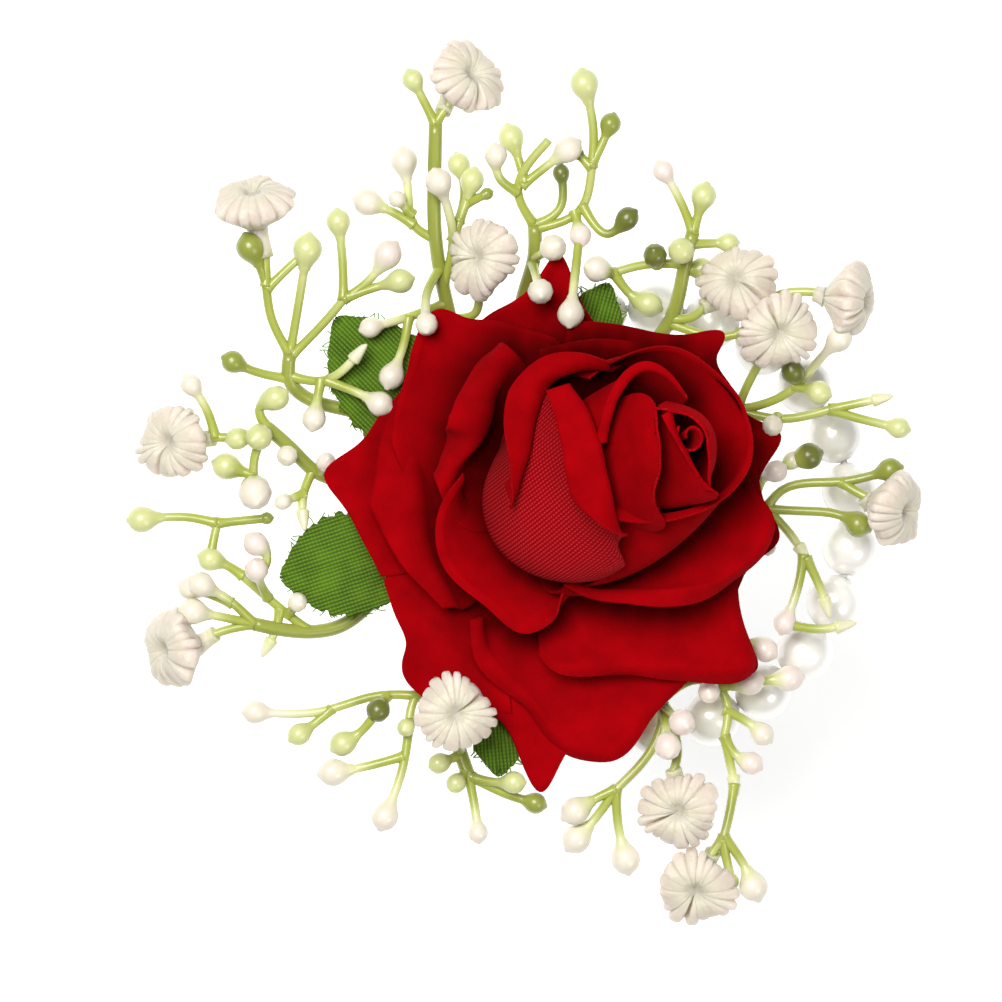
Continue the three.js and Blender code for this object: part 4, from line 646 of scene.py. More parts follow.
def piece(name, patches, materials, body, nodes=()):
    """Joins patches into one mesh object at the origin, and ties it to a CAD body."""
    starts = np.cumsum([0] + [len(p["points"]) for p in patches[:-1]])
    points = np.concatenate([p["points"] for p in patches]) * MM
    quads = np.concatenate([p["quads"] + s for p, s in zip(patches, starts)])
    mesh = bpy.data.meshes.new(name)
    mesh.vertices.add(len(points))
    mesh.vertices.foreach_set("co", points.ravel())
    mesh.loops.add(quads.size)
    mesh.loops.foreach_set("vertex_index", quads.ravel())
    mesh.polygons.add(len(quads))
    mesh.polygons.foreach_set("loop_start", np.arange(len(quads)) * 4)
    mesh.polygons.foreach_set("material_index", np.concatenate([p["slot"] for p in patches]))
    mesh.update(calc_edges=True)
    smooth = ~np.concatenate([p["flat"] for p in patches])
    mesh.polygons.foreach_set("use_smooth", smooth)
    uv = np.concatenate([p["uv"] for p in patches]) * MM
    layer = mesh.uv_layers.new(name="cloth")
    layer.data.foreach_set("uv", uv[quads.ravel()].ravel())
    tone = mesh.attributes.new("tone", "FLOAT", "POINT")
    tone.data.foreach_set("value", np.concatenate([p["tone"] for p in patches]))
    shape = bmesh.new()
    shape.from_mesh(mesh)
    bmesh.ops.remove_doubles(shape, verts=shape.verts, dist=MM / 1000)
    bmesh.ops.recalc_face_normals(shape, faces=shape.faces)
    shape.to_mesh(mesh)
    shape.free()
    for material in materials:
        mesh.materials.append(material)
    made = bpy.data.objects.new(name, mesh)
    bpy.context.scene.collection.objects.link(made)
    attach(made, body)
    if nodes:
        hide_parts(*nodes)
    return made


def petal_grid(petal, layer):
    """Petal surface, rows from the foot to the free edge.

    Foot to rim is the parabola through foot, belly and rim. Past the rim the cloth turns
    outwards on an arc of the curl radius, then runs on straight for the flap. Two sines across
    the petal ripple it, more towards the edge as the square of the way there.
    """
    across, up, round_rows, flap_rows = PETAL_GRID
    u = np.linspace(0, 1, across)
    rim = curve(petal["rim"], u)
    foot_z = LAYER_Z + LAYER_STEP * layer
    turn = np.radians(np.linspace(*petal["foot"], across))
    ring = np.stack([np.cos(turn), np.sin(turn)], -1)
    foot = np.column_stack([
        axis_at(foot_z) + (FOOT_R - FOOT_STEP * layer) * ring, np.full(across, foot_z)])
    if len(petal["belly"]) == 2:
        radius, height = petal["belly"]
        belly = np.column_stack([axis_at(height) + radius * ring, np.full(across, height)])
    else:
        belly = curve(petal["belly"], u)
    v = np.linspace(0, 1, up)[:, None, None]
    sheet_rows = foot * (1 - v) * (1 - 2 * v) + belly * 4 * v * (1 - v) + rim * v * (2 * v - 1)
    onward = unit(foot - 4 * belly + 3 * rim)
    outward = unit(np.cross(np.gradient(rim, axis=0), onward))
    radius = petal["curl"][0]
    share = [0, 0.5, 1]
    most = np.radians(np.interp(u, share, petal["curl"][1:]))[None, :, None]
    bend = most * np.linspace(0, 1, round_rows + 1)[1:, None, None]
    curl_rows = rim + radius * (np.sin(bend) * onward + (1 - np.cos(bend)) * outward)
    end = np.cos(most) * onward + np.sin(most) * outward
    length = np.interp(u, share, petal["flap"])[None, :, None]
    flap = curl_rows[-1:] + end * length * np.linspace(0, 1, flap_rows + 1)[1:, None, None]
    points = np.concatenate([sheet_rows, curl_rows, flap])
    rise = np.linspace(0, 1, len(points))[:, None] ** 2
    phase = petal["foot"][0]
    ripple = np.sin(TAU * RIPPLES[0] * u + phase) + 0.5 * np.sin(TAU * RIPPLES[1] * u + 2 * phase)
    normal = unit(np.cross(np.gradient(points, axis=0), np.gradient(points, axis=1)))
    return points + normal * (petal["wave"] * rise * ripple)[..., None]


def painted_shade_tones(grids):
    """Painted fold shade: how open each petal place lies, from 0 deep in a fold to 1 in the open.

    A place is shaded by the cloth above it: the nearest and highest counts, with a bell
    curve of the distance seen from above times the height between them.
    """
    above = np.concatenate([grid[::FOLD_SKIP, ::FOLD_SKIP].reshape(-1, 3) for grid in grids])
    tones = []
    for grid in grids:
        rows = []
        for row in grid:
            apart = row[:, None, :2] - above[None, :, :2]
            near = np.exp(-(apart ** 2).sum(-1) / FOLD_REACH ** 2)
            higher = np.clip((above[None, :, 2] - row[:, None, 2] - FOLD_START) / FOLD_DEPTH, 0, 1)
            rows.append(1 - (near * higher).max(1))
        tones.append(np.array(rows))
    return tones


def collar(layer, thickness):
    """Ring of cloth round the core that joins the feet of one layer's petals."""
    z = LAYER_Z + LAYER_STEP * layer
    inner = COLLAR_HOLE_R
    outer = FOOT_R - FOOT_STEP * layer + COLLAR_WIDTH
    low = z - thickness / 2
    high = z + thickness / 2
    profile = [(inner, low), (outer, low), (outer, high), (inner, high), (inner, low)]
    return spun(profile, *axis_at(z), COLLAR_SIDES)


def coil_grid(coil):
    """Wound strip of the bud: a spiral whose radius grows evenly, upright and flaring a little."""
    u = np.linspace(0, 1, coil["cols"])
    v = np.linspace(0, 1, coil["rows"])[:, None]
    turn = math.radians(coil["start"]) - TAU * coil["turns"] * u
    radius = coil["inner"] + (coil["outer"] - coil["inner"]) * u
    grow = radius * (1 - coil["narrow"] * (1 - v))
    x = coil["centre"][0] - coil["shift"][0] * (1 - v) + grow * np.cos(turn)
    y = coil["centre"][1] - coil["shift"][1] * (1 - v) + coil["oval"] * grow * np.sin(turn)
    z = coil["low"] + (coil["top"] - coil["dip"] * (1 - u) ** 2 - coil["low"]) * v
    return np.stack([x, y, z], -1)


def leaf_width(v):
    """Half width along a leaf as a share of the widest: a sine up to there, then an ellipse."""
    rise = np.sin(np.pi / 2 * np.clip(v / LEAF_WIDEST, 0, 1)) ** 1.2
    end = np.clip((v - LEAF_WIDEST) / (1 - LEAF_WIDEST), 0, 1)
    return np.where(v < LEAF_WIDEST, rise, (1 - 0.995 * end ** 1.7) ** 0.72)


def leaf_grid(tip, half):
    """Leaf and its cloth places: the half width has a ragged saw of teeth, ribs are shallow
    waves, and the places are flat distances turned by the angle of the threads."""
    v = np.linspace(0, 1, LEAF_ROWS)[:, None]
    u = np.linspace(-1, 1, LEAF_COLS)[None]
    start = axis_at(LEAF_Z)
    along = unit(np.asarray(tip) - start)
    square = np.array([-along[1], along[0]])
    length = np.linalg.norm(np.asarray(tip) - start)
    shape = leaf_width(v)
    saw = (v * LEAF_TEETH + 0.3 * np.sign(u)) % 1 - 0.5
    ragged = 0.4 * np.sin(83 * v + 2 * half * np.sign(u)) + 0.3 * np.sin(131 * v + half)
    tooth = 1 + LEAF_TOOTH * (saw + ragged) * np.abs(u) ** 3
    run = LEAF_START + (length - LEAF_START) * v - 0.5 * (1 - np.cos(9 * u)) * v ** 12
    width = (LEAF_NECK + half * shape) * tooth * u
    ribs = RIB_H * np.sin(TAU * (v * LEAF_TEETH - RIB_SLANT * np.abs(u))) * np.abs(u) * (1 - np.abs(u))
    groove = GROOVE_DEPTH * np.exp(-(u / GROOVE_WIDTH) ** 2)
    z = LEAF_Z + LEAF_LIFT * v + shape * (ribs - groove - LEAF_DROOP * np.abs(u))
    x = start[0] + along[0] * run + square[0] * width
    y = start[1] + along[1] * run + square[1] * width
    turned = (run * math.cos(LEAF_BIAS) - width * math.sin(LEAF_BIAS),
              run * math.sin(LEAF_BIAS) + width * math.cos(LEAF_BIAS))
    return np.stack([x, y, z], -1), np.stack(turned, -1)


def fray_patches(grid):
    """Loose threads at the border of a leaf's outer half, each a short bent tube.

    Sines of its number shift a thread along the border, turn it, bend it and give its length.
    """
    half = len(grid) // 2
    border = np.concatenate([grid[half:, 0], grid[-1], grid[:half:-1, -1]])
    middle = grid[half:].reshape(-1, 3).mean(0)
    patches = []
    for k in range(FRAY_COUNT):
        share = (k + 0.5 * math.sin(7.3 * k)) / FRAY_COUNT
        root = border[int(np.clip(share, 0, 0.999) * len(border))]
        out = unit((root - middle) * (1, 1, 0))
        turn = 0.9 * math.sin(11.7 * k)
        aside = np.array([-out[1], out[0], 0])
        first = out * math.cos(turn) + aside * math.sin(turn)
        length = FRAY_LENGTH * (0.55 + 0.45 * math.sin(5.9 * k))
        tip = root + length * (first + 0.3 * math.sin(3.1 * k) * aside)
        path = curve([root - FRAY_ROOT * first, root + 0.5 * length * first, tip], np.linspace(0, 1, 5))
        patches.append(tube(path, FRAY_R, (0.1, 0.2, 1), FRAY_SIDES, slot=1))
    return patches


def nearest_on(point, stems):
    """Point of the stems nearest to a point seen from above, by eighths of a span."""
    share = np.arange(9)[:, None] / 8
    places = np.concatenate([
        (p[:-1, None] * (1 - share) + p[1:, None] * share).reshape(-1, 3) for p in stems])
    return places[np.argmin(np.linalg.norm(places[:, :2] - point, axis=1))]


def stems_of(sprig):
    """Lines of a sprig: the trunk from its root, then each twig from the nearest stem."""
    turn = math.radians(sprig["slot"])
    root = (MOUND[0] + ROOT_R * math.cos(turn), MOUND[1] + ROOT_R * math.sin(turn), ROOT_Z)
    stems = [np.array([root, *sprig["trunk"]], float)]
    for bud, end, points in sprig["twigs"]:
        flat = np.array(points, float)
        start = nearest_on(flat[0], stems)
        if np.linalg.norm(flat[0] - start[:2]) < TRUNK_R:
            flat = flat[1:]
        flat = np.concatenate([start[None, :2], flat])
        run = np.concatenate([[0], np.cumsum(np.linalg.norm(np.diff(flat, axis=0), axis=1))])
        stems.append(np.column_stack([flat, start[2] + (end - start[2]) * run / run[-1]]))
    return stems


def twig_tube(line, bud, letter):
    """Twig with its bud or barbed peg: a tube whose radius is the stem, a flare where it
    starts and the bud's profile at its end; the tone runs from the stem's to the bud's."""
    last = unit(line[-1] - line[-2])
    length = np.linalg.norm(np.diff(line, axis=0), axis=1).sum()
    peg = letter == PEG
    scale = TWIG_R if peg else bud
    place, radius = (PEG_PLACE, PEG_RADIUS) if peg else (BUD_PLACE, BUD_RADIUS)
    end = length + scale * np.linspace(place[0], place[-1], 19)
    end = end[end > 0.3] if bud else np.linspace(0.9 * length, length + 0.3, 4)
    at = np.concatenate([np.linspace(0, end[0], 15)[:-1], end])
    path = curve(line, np.clip(at / length, 0, 1)) + np.maximum(at - length, 0)[:, None] * last
    stem = TWIG_R * (1 + FLARE * np.exp(-at / FLARE_LENGTH))
    ripe = np.clip((at / length - TONE_FROM) / (TONE_TO - TONE_FROM), 0, 1) ** 1.5
    tone = STEM_TONE + (TONES[letter] - STEM_TONE) * ripe
    if bud:
        ball = scale * np.interp((at - length) / scale, place, radius)
        stem = np.where(at > end[0], ball if peg else np.maximum(ball, stem * 0.2), stem)
        if not peg:
            stem = np.where((at - length) / scale < -0.7, np.maximum(stem, TWIG_R), stem)
    return tube(path, stem, STEM_SIDE, TWIG_SIDES, tone)


def sprig_patches(sprig):
    """Trunk and twigs of one sprig."""
    stems = stems_of(sprig)
    trunk = curve(stems[0], np.linspace(0, 1, 40))
    patches = [tube(trunk, TRUNK_R, STEM_SIDE, TRUNK_SIDES, TRUNK_TONE)]
    for line, (bud, end, points), letter in zip(stems[1:], sprig["twigs"], sprig["tones"]):
        patches.append(twig_tube(line, bud, letter))
    return patches


def head_patches(middle, start, face, index):
    """Flower head: the head profile turned about its axis and parted into lobes, on a neck.

    A valley between lobes grows as the fourth power of the distance from a lobe's middle. There
    the rim is notched and the surface sinks along its normal. Each lobe reaches and rises by sines
    of its number and the head's, and slow sines of the direction ruffle the rim. The neck runs
    straight from its start to the head's back.
    """
    middle = np.array(middle, float)
    start = np.array(start, float)
    axis = unit(np.array(face, float))
    side = unit(np.cross(axis, (0, 0.3, 1)))
    other = np.cross(axis, side)
    turn = np.arange(HEAD_COLS) * TAU / HEAD_COLS
    drift = LOBE_DRIFT[0] * np.sin(3 * turn + index) + LOBE_DRIFT[1] * np.sin(5 * turn + 2 * index)
    place = LOBES / TAU * (turn + drift)
    number = np.floor(place).astype(int) % LOBES
    valley = np.abs(2 * (place % 1) - 1) ** 4
    length, lift = np.sin(np.array([[5.1], [7.9]]) * (number + 1) + 2.3 * index)
    share = np.linspace(0, 1, HEAD_ROWS)
    row = curve(HEAD_PROFILE, share)
    slope = unit(np.gradient(row, axis=0))
    rim = np.clip((row[:, :1] - RIM_START) / (1 - RIM_START), 0, 1) ** 1.5
    front = np.clip(6 * share[:, None] - 3, 0, 1) * np.clip(3 * row[:, :1], 0, 1)
    reach = 1 + rim * (LOBE_REACH * length * (1 - valley) - LOBE_NOTCH * valley)
    reach = reach + RUFFLE / 2 * rim * (np.sin(2 * turn + 1.9 * index) + np.sin(3 * turn + 2.7 * index))
    ruffle = RUFFLE * rim * (np.sin(2 * turn + 1.3 * index) + np.sin(4 * turn + 3.1 * index))
    away = (turn - 0.7 * index + np.pi) % TAU - np.pi
    sink = LOBE_GROOVE * (1 + 0.6 * length) * valley ** 2 * np.clip(3 * row[:, :1], 0, 1)
    sink = sink + SLIT_DEPTH * np.exp(-(away / SLIT_WIDTH) ** 2) * front
    distance = HEAD_R * np.maximum(row[:, :1] * reach - slope[:, 1:] * sink, 0)
    height = HEAD_R * (row[:, 1:] + slope[:, :1] * sink + LOBE_RISE * lift * (1 - valley) * rim + ruffle)
    out = np.cos(turn)[:, None] * side + np.sin(turn)[:, None] * other
    points = middle + distance[:, :, None] * out + height[:, :, None] * axis
    tone = np.broadcast_to(0.3 + 0.7 * rim, distance.shape)
    patches = [patch(points, grid_quads(HEAD_ROWS, HEAD_COLS, wrap=True), 0, None, tone)]
    share = np.linspace(0, 1, NECK_ROWS)
    line = start + share[:, None] * (middle - NECK_END * HEAD_R * axis - start)
    width = NECK_R * np.interp(share, *np.array(NECK_FLARE).T)
    patches.append(tube(line, width, side, NECK_SIDES, np.linspace(*NECK_TONES, NECK_ROWS)))
    return patches


def ring_point(turn):
    """Point of the bracelet's circle."""
    turn = np.asarray(turn, float)
    height = np.full(turn.shape, CORD_Z)
    return np.stack([RING_X + RING_R * np.cos(turn), RING_R * np.sin(turn), height], -1)


def pearl_turn(index):
    """Direction of a pearl from the middle of the ring."""
    return math.pi + GAP_TURN + PEARL_TURN * (index + 0.5)


def pearl_patch(index):
    """Ball with a hole along the cord: a half circle from rim to rim of the hole, turned
    about the cord, and back through the hole."""
    turn = pearl_turn(index)
    along = np.array([-math.sin(turn), math.cos(turn), 0])
    out = np.array([math.cos(turn), math.sin(turn), 0])
    open_turn = math.asin(PEARL_HOLE_R / PEARL_R)
    lift = np.linspace(open_turn, math.pi - open_turn, PEARL_ROWS)
    radius = np.append(PEARL_R * np.sin(lift), PEARL_HOLE_R)
    place = np.append(-PEARL_R * np.cos(lift), -PEARL_R * math.cos(open_turn))
    ring = np.arange(PEARL_SIDES) * TAU / PEARL_SIDES
    spokes = np.cos(ring)[:, None] * out + np.sin(ring)[:, None] * UP
    points = ring_point(turn) + place[:, None, None] * along + radius[:, None, None] * spokes[None]
    return patch(points, grid_quads(len(radius), PEARL_SIDES, wrap=True))


def cord_patch(index):
    """Stretch of elastic that one pearl carries, along the ring to both sides."""
    turn = pearl_turn(index) + PEARL_TURN * np.linspace(-CORD_REACH, CORD_REACH, 15)
    return tube(ring_point(turn), CORD_R, UP, CORD_SIDES)


def chord_patch():
    """Elastic through the pad, straight between the ends of the pearl row and into them."""
    ends = ring_point([math.pi + GAP_TURN, math.pi - GAP_TURN])
    into = GAP_TURN + CHORD_REACH * PEARL_TURN
    reach = ring_point([math.pi + into, math.pi - into])
    path = np.concatenate([reach[:1], np.linspace(ends[0], ends[1], 12), reach[1:]])
    return tube(path, CORD_R, UP, CORD_SIDES)


def pad_disc(low, high, seed):
    """Felt disc with rounded, slightly ragged edge; its outline is a circle with small waves."""
    turn = np.arange(FELT_SIDES) * TAU / FELT_SIDES
    waves = (np.sin(7 * turn + seed) + np.sin(17 * turn + 2 * seed)) / 2
    swell = 1 - FELT_RAGGED + FELT_RAGGED * waves
    soft = FELT_ROUND * (high - low)
    profile = [(0, low), (FELT_R - soft, low), (FELT_R, low + soft), (FELT_R, high - soft),
               (FELT_R - soft, high), (0, high)]
    return spun(profile, 0, 0, FELT_SIDES, swell)


def glue_patch(profile, size, low, place, lumps, seed):
    """Blob of glue: a profile, times its size and above its low end, turned round with slow lumps."""
    turn = np.arange(GLUE_SIDES) * TAU / GLUE_SIDES
    swell = 1 - lumps + lumps * (np.sin(3 * turn + seed) + np.sin(5 * turn + 2.3 * seed)) / 2
    return spun(np.array(profile) * size + (0, low), *place, GLUE_SIDES, swell)


def core_patch():
    """Leaning peg the rose is threaded on."""
    z = np.linspace(CORE_LOW, LAYER_Z + BUD_LAYER * LAYER_STEP + CORE_OVER, 12)
    return tube(np.column_stack([axis_at(z), z]), CORE_R, (1, 0, 0), 20)


def calyx_patch():
    """Shallow lobes round the core, rounded at the edge: the radius has a cosine of the direction."""
    turn = np.arange(CALYX_SIDES) * TAU / CALYX_SIDES
    swell = 1 - CALYX_WAVE + CALYX_WAVE * np.cos(CALYX_LOBES * turn)
    low = CALYX_Z - CALYX_T / 2
    high = CALYX_Z + CALYX_T / 2
    inner = CORE_R + CALYX_GAP
    outer = CALYX_R - CALYX_ROUND
    profile = [(inner, low), (outer, low), (CALYX_R, CALYX_Z), (outer, high), (inner, high), (inner, low)]
    return spun(profile, *axis_at(CALYX_Z), CALYX_SIDES, swell)


# Materials

def new_material(name, colour, roughness):
    """Material with a Principled shader, and that shader."""
    material = bpy.data.materials.new(name)
    material.use_nodes = True
    shader = material.node_tree.nodes["Principled BSDF"]
    shader.inputs["Base Color"].default_value = (*colour, 1)
    shader.inputs["Roughness"].default_value = roughness
    return material, shader


def node(material, kind, inputs=(), **settings):
    """Adds a node, sets its properties and its inputs, and links inputs that are sockets."""
    tree = material.node_tree
    made = tree.nodes.new(kind)
    for key, value in settings.items():
        setattr(made, key, value)
    for key, value in dict(inputs).items():
        if isinstance(value, bpy.types.NodeSocket):
            tree.links.new(value, made.inputs[key])
        else:
            made.inputs[key].default_value = value
    return made


def ramp(material, factor, stops):
    """Colour ramp node through the stops of place and colour."""
    made = node(material, "ShaderNodeValToRGB", {"Fac": factor})
    elements = made.color_ramp.elements
    while len(elements) < len(stops):
        elements.new(1)
    for element, (place, colour) in zip(elements, stops):
        element.position = place
        element.color = (*colour, 1)
    return made.outputs["Color"]


def bump(material, shader, height, distance, strength=1.0):
    """Bump from a height socket, distance in metres."""
    made = node(material, "ShaderNodeBump", {
        "Height": height, "Distance": distance, "Strength": strength})
    material.node_tree.links.new(made.outputs["Normal"], shader.inputs["Normal"])


def object_noise(material, scale, detail=2.0):
    """Noise on Object coordinates, scale per metre."""
    place = node(material, "ShaderNodeTexCoord")
    return node(material, "ShaderNodeTexNoise", {
        "Vector": place.outputs["Object"], "Scale": scale, "Detail": detail}).outputs["Fac"]


def weave_height(material, pitch, angle):
    """Twill on the cloth places, from 0 to 1: ridges at an angle to the grid, dotted along their length.

    Each of the two turned places gives a half plus half the cosine of a full turn over the pitch,
    and a ridge sinks to half its height between two dots.
    """
    place = node(material, "ShaderNodeUVMap", uv_map="cloth")
    turned = node(material, "ShaderNodeVectorRotate", {
        "Vector": place.outputs["UV"], "Angle": angle}, rotation_type="Z_AXIS")
    parts = node(material, "ShaderNodeSeparateXYZ", {"Vector": turned.outputs["Vector"]})
    waves = []
    for side, low in (("X", 0.0), ("Y", 0.5)):
        phase = node(material, "ShaderNodeMath", {0: parts.outputs[side], 1: TAU / pitch},
                     operation="MULTIPLY")
        wave = node(material, "ShaderNodeMath", {0: phase.outputs[0]}, operation="COSINE")
        waves.append(node(material, "ShaderNodeMapRange", {
            "Value": wave.outputs[0], "From Min": -1.0, "To Min": low}).outputs["Result"])
    return node(material, "ShaderNodeMath", {0: waves[0], 1: waves[1]}, operation="MULTIPLY").outputs[0]


def shaded(colour, factor):
    """Colour made darker or lighter by a factor."""
    return tuple(min(1.0, c * factor) for c in colour)


def paint_shade_in_folds(material, shader, look, colour):
    """Base colour that goes over to a painted shade of the red deep in the folds."""
    # painted shade: the red darkens where the cloth above would shade it
    mixed = node(material, "ShaderNodeMix", {
        0: tone_of(material), 6: (*shaded(look.red, look.fold_painted_shade), 1), 7: colour}, data_type="RGBA")
    material.node_tree.links.new(mixed.outputs[2], shader.inputs["Base Color"])


def flannel_face(look):
    """Napped face of the flannel: soft sheen, uneven nap, painted shade in the folds and fine fibre bump.
    """
    material, shader = new_material("flannel_face", look.red, 0.85)
    nap = object_noise(material, 260, 3)
    colour = ramp(material, nap, [(0.3, shaded(look.red, 0.85)), (0.7, shaded(look.red, 1.15))])
    # painted shade deep in the folds
    paint_shade_in_folds(material, shader, look, colour)
    shader.inputs["Sheen Weight"].default_value = 0.12
    shader.inputs["Sheen Roughness"].default_value = 0.5
    shader.inputs["Sheen Tint"].default_value = (1, 0.02, 0.03, 1)
    shader.inputs["Specular IOR Level"].default_value = 0.02
    bump(material, shader, object_noise(material, 9000, 2), 0.00012, 0.5)
    return material


def flannel_back(look):
    """Woven back of the flannel: bright thread crossings on a darker ground."""
    material, shader = new_material("flannel_back", look.red, 0.7)
    height = weave_height(material, look.weave_pitch, look.weave_turn)
    colour = ramp(material, height, [
        (0.1, shaded(look.red, 0.75)), (0.45, shaded(look.red, 1.1)), (0.85, look.thread)])
    # painted shade deep in the folds
    paint_shade_in_folds(material, shader, look, colour)
    shader.inputs["Specular IOR Level"].default_value = 0.06
    bump(material, shader, height, 0.0001, 0.6)
    return material


def flannel_edge(look):
    """Cut edge of the flannel, paler where the fibres fray."""
    material, shader = new_material("flannel_edge", look.thread, 0.9)
    fray = object_noise(material, 2500, 2)
    colour = ramp(material, fray, [(0.56, shaded(look.red, 1.05)), (0.8, shaded(look.thread, 0.7))])
    # painted shade deep in the folds
    paint_shade_in_folds(material, shader, look, colour)
    shader.inputs["Specular IOR Level"].default_value = 0.03
    bump(material, shader, fray, 0.0003, 0.8)
    return material


def tone_of(material):
    """Tone attribute of the mesh, 0 to 1: painted fold shade on the rose, colour ramp place elsewhere."""
    return node(material, "ShaderNodeAttribute", attribute_name="tone").outputs["Fac"]


def sprig_plastic(look):
    """Glossy moulded plastic, from dark green through the stem's yellow green to cream buds."""
    material, shader = new_material("sprig_plastic", look.stem, 0.34)
    colour = ramp(material, tone_of(material), [
        (0.0, shaded(look.stem, 0.3)), (0.28, shaded(look.stem, 0.7)), (0.44, look.stem),
        (0.64, look.pale), (0.9, look.cream), (1.0, look.blush)])
    material.node_tree.links.new(colour, shader.inputs["Base Color"])
    shader.inputs["Subsurface Weight"].default_value = 0.15
    shader.inputs["Subsurface Scale"].default_value = 0.001
    shader.inputs["Subsurface Radius"].default_value = (1.0, 1.0, 0.4)
    shader.inputs["Coat Weight"].default_value = 0.15
    bump(material, shader, object_noise(material, 900, 2), 0.0001, 0.3)
    return material


def head_plastic(look):
    """Glossy off-white plastic of the flower heads, greener in their hollows."""
    material, shader = new_material("head_plastic", look.cream, 0.4)
    colour = ramp(material, tone_of(material), [
        (0.0, shaded(look.pale, 0.6)), (0.3, shaded(look.cream, 0.85)), (0.8, look.petal_white)])
    material.node_tree.links.new(colour, shader.inputs["Base Color"])
    shader.inputs["Subsurface Weight"].default_value = 1.0
    shader.inputs["Subsurface Scale"].default_value = 0.003
    shader.inputs["Subsurface Radius"].default_value = (1.0, 0.95, 0.85)
    shader.inputs["Specular IOR Level"].default_value = 0.3
    bump(material, shader, object_noise(material, 1100, 3), 0.0005, 0.5)
    return material


def leaf_cloth(look, name, colour, spread):
    """Woven green cloth, ridged on the bias and uneven in dye."""
    material, shader = new_material(name, colour, 0.8)
    height = weave_height(material, look.leaf_pitch, look.leaf_turn)
    dye = object_noise(material, 300, 3)
    mix = node(material, "ShaderNodeMath", {0: height, 1: dye}, operation="ADD")
    half = node(material, "ShaderNodeMath", {0: mix.outputs[0], 1: 0.5}, operation="MULTIPLY")
    tint = ramp(material, half.outputs[0], [
        (0.22, shaded(colour, 1 - spread)), (0.7, shaded(colour, 1 + spread))])
    material.node_tree.links.new(tint, shader.inputs["Base Color"])
    shader.inputs["Specular IOR Level"].default_value = 0.2
    bump(material, shader, height, 0.00012, 0.7)
    return material


def pearl_finish(look):
    """Pearl lacquer: white base under a clear coat with a warm, slightly uneven lustre."""
    material, shader = new_material("pearl_finish", look.pearl, 0.28)
    lustre = object_noise(material, 120, 1)
    tint = ramp(material, lustre, [(0.35, shaded(look.pearl, 0.94)), (0.65, look.pearl)])
    material.node_tree.links.new(tint, shader.inputs["Base Color"])
    shader.inputs["Coat Weight"].default_value = 0.7
    shader.inputs["Coat Roughness"].default_value = 0.08
    shader.inputs["Metallic"].default_value = 0.15
    shader.inputs["Sheen Weight"].default_value = 0.1
    return material


def plain_finish(name, colour, roughness, scale, depth, spread):
    """Plain material with fine grain: noise shades the colour and lifts the surface."""
    material, shader = new_material(name, colour, roughness)
    grain = object_noise(material, scale, 3)
    tint = ramp(material, grain, [(0.3, shaded(colour, 1 - spread)), (0.7, shaded(colour, 1 + spread))])
    material.node_tree.links.new(tint, shader.inputs["Base Color"])
    bump(material, shader, grain, depth, 0.6)
    return material


def glue_finish(look):
    """Set hot glue: cloudy, smooth and a little see-through."""
    material = plain_finish(
        "hot_glue", look.glue, roughness=0.25, scale=180, depth=0.0003, spread=0.04)
    shader = material.node_tree.nodes["Principled BSDF"]
    shader.inputs["Subsurface Weight"].default_value = 0.5
    shader.inputs["Subsurface Scale"].default_value = 0.003
    shader.inputs["Subsurface Radius"].default_value = (1.0, 1.0, 0.7)
    return material


# Settings

class CorsageRose(bpy.types.PropertyGroup):
    """Sizes and colours of the rose."""

    cloth: bpy.props.FloatProperty(
        name="Flannel thickness", description="Thickness of one petal", default=0.33 * MM,
        min=0.2 * MM, max=1.5 * MM, precision=5, unit="LENGTH")
    weave_pitch: bpy.props.FloatProperty(
        name="Weave pitch", description="Distance between threads on the back of the flannel",
        default=0.52 * MM, min=0.2 * MM, max=2 * MM, precision=5, unit="LENGTH")
    weave_turn: bpy.props.FloatProperty(
        name="Weave turn", description="Angle of the twill ridges to the petal's length",
        default=0, min=-TAU, max=TAU, subtype="ANGLE")
    # painted shade: how bright the red is painted deep in the folds
    fold_painted_shade: bpy.props.FloatProperty(
        name="Fold shade", description="Brightness of the nap deep in the folds", default=0.2,
        min=0, max=1)
    red: bpy.props.FloatVectorProperty(
        name="Flannel red", description="Colour of the napped face", subtype="COLOR",
        default=(0.27, 0.0002, 0.002), min=0, max=1)
    thread: bpy.props.FloatVectorProperty(
        name="Thread", description="Colour of the thread crossings and frayed edges",
        subtype="COLOR", default=(0.48, 0.016, 0.026), min=0, max=1)


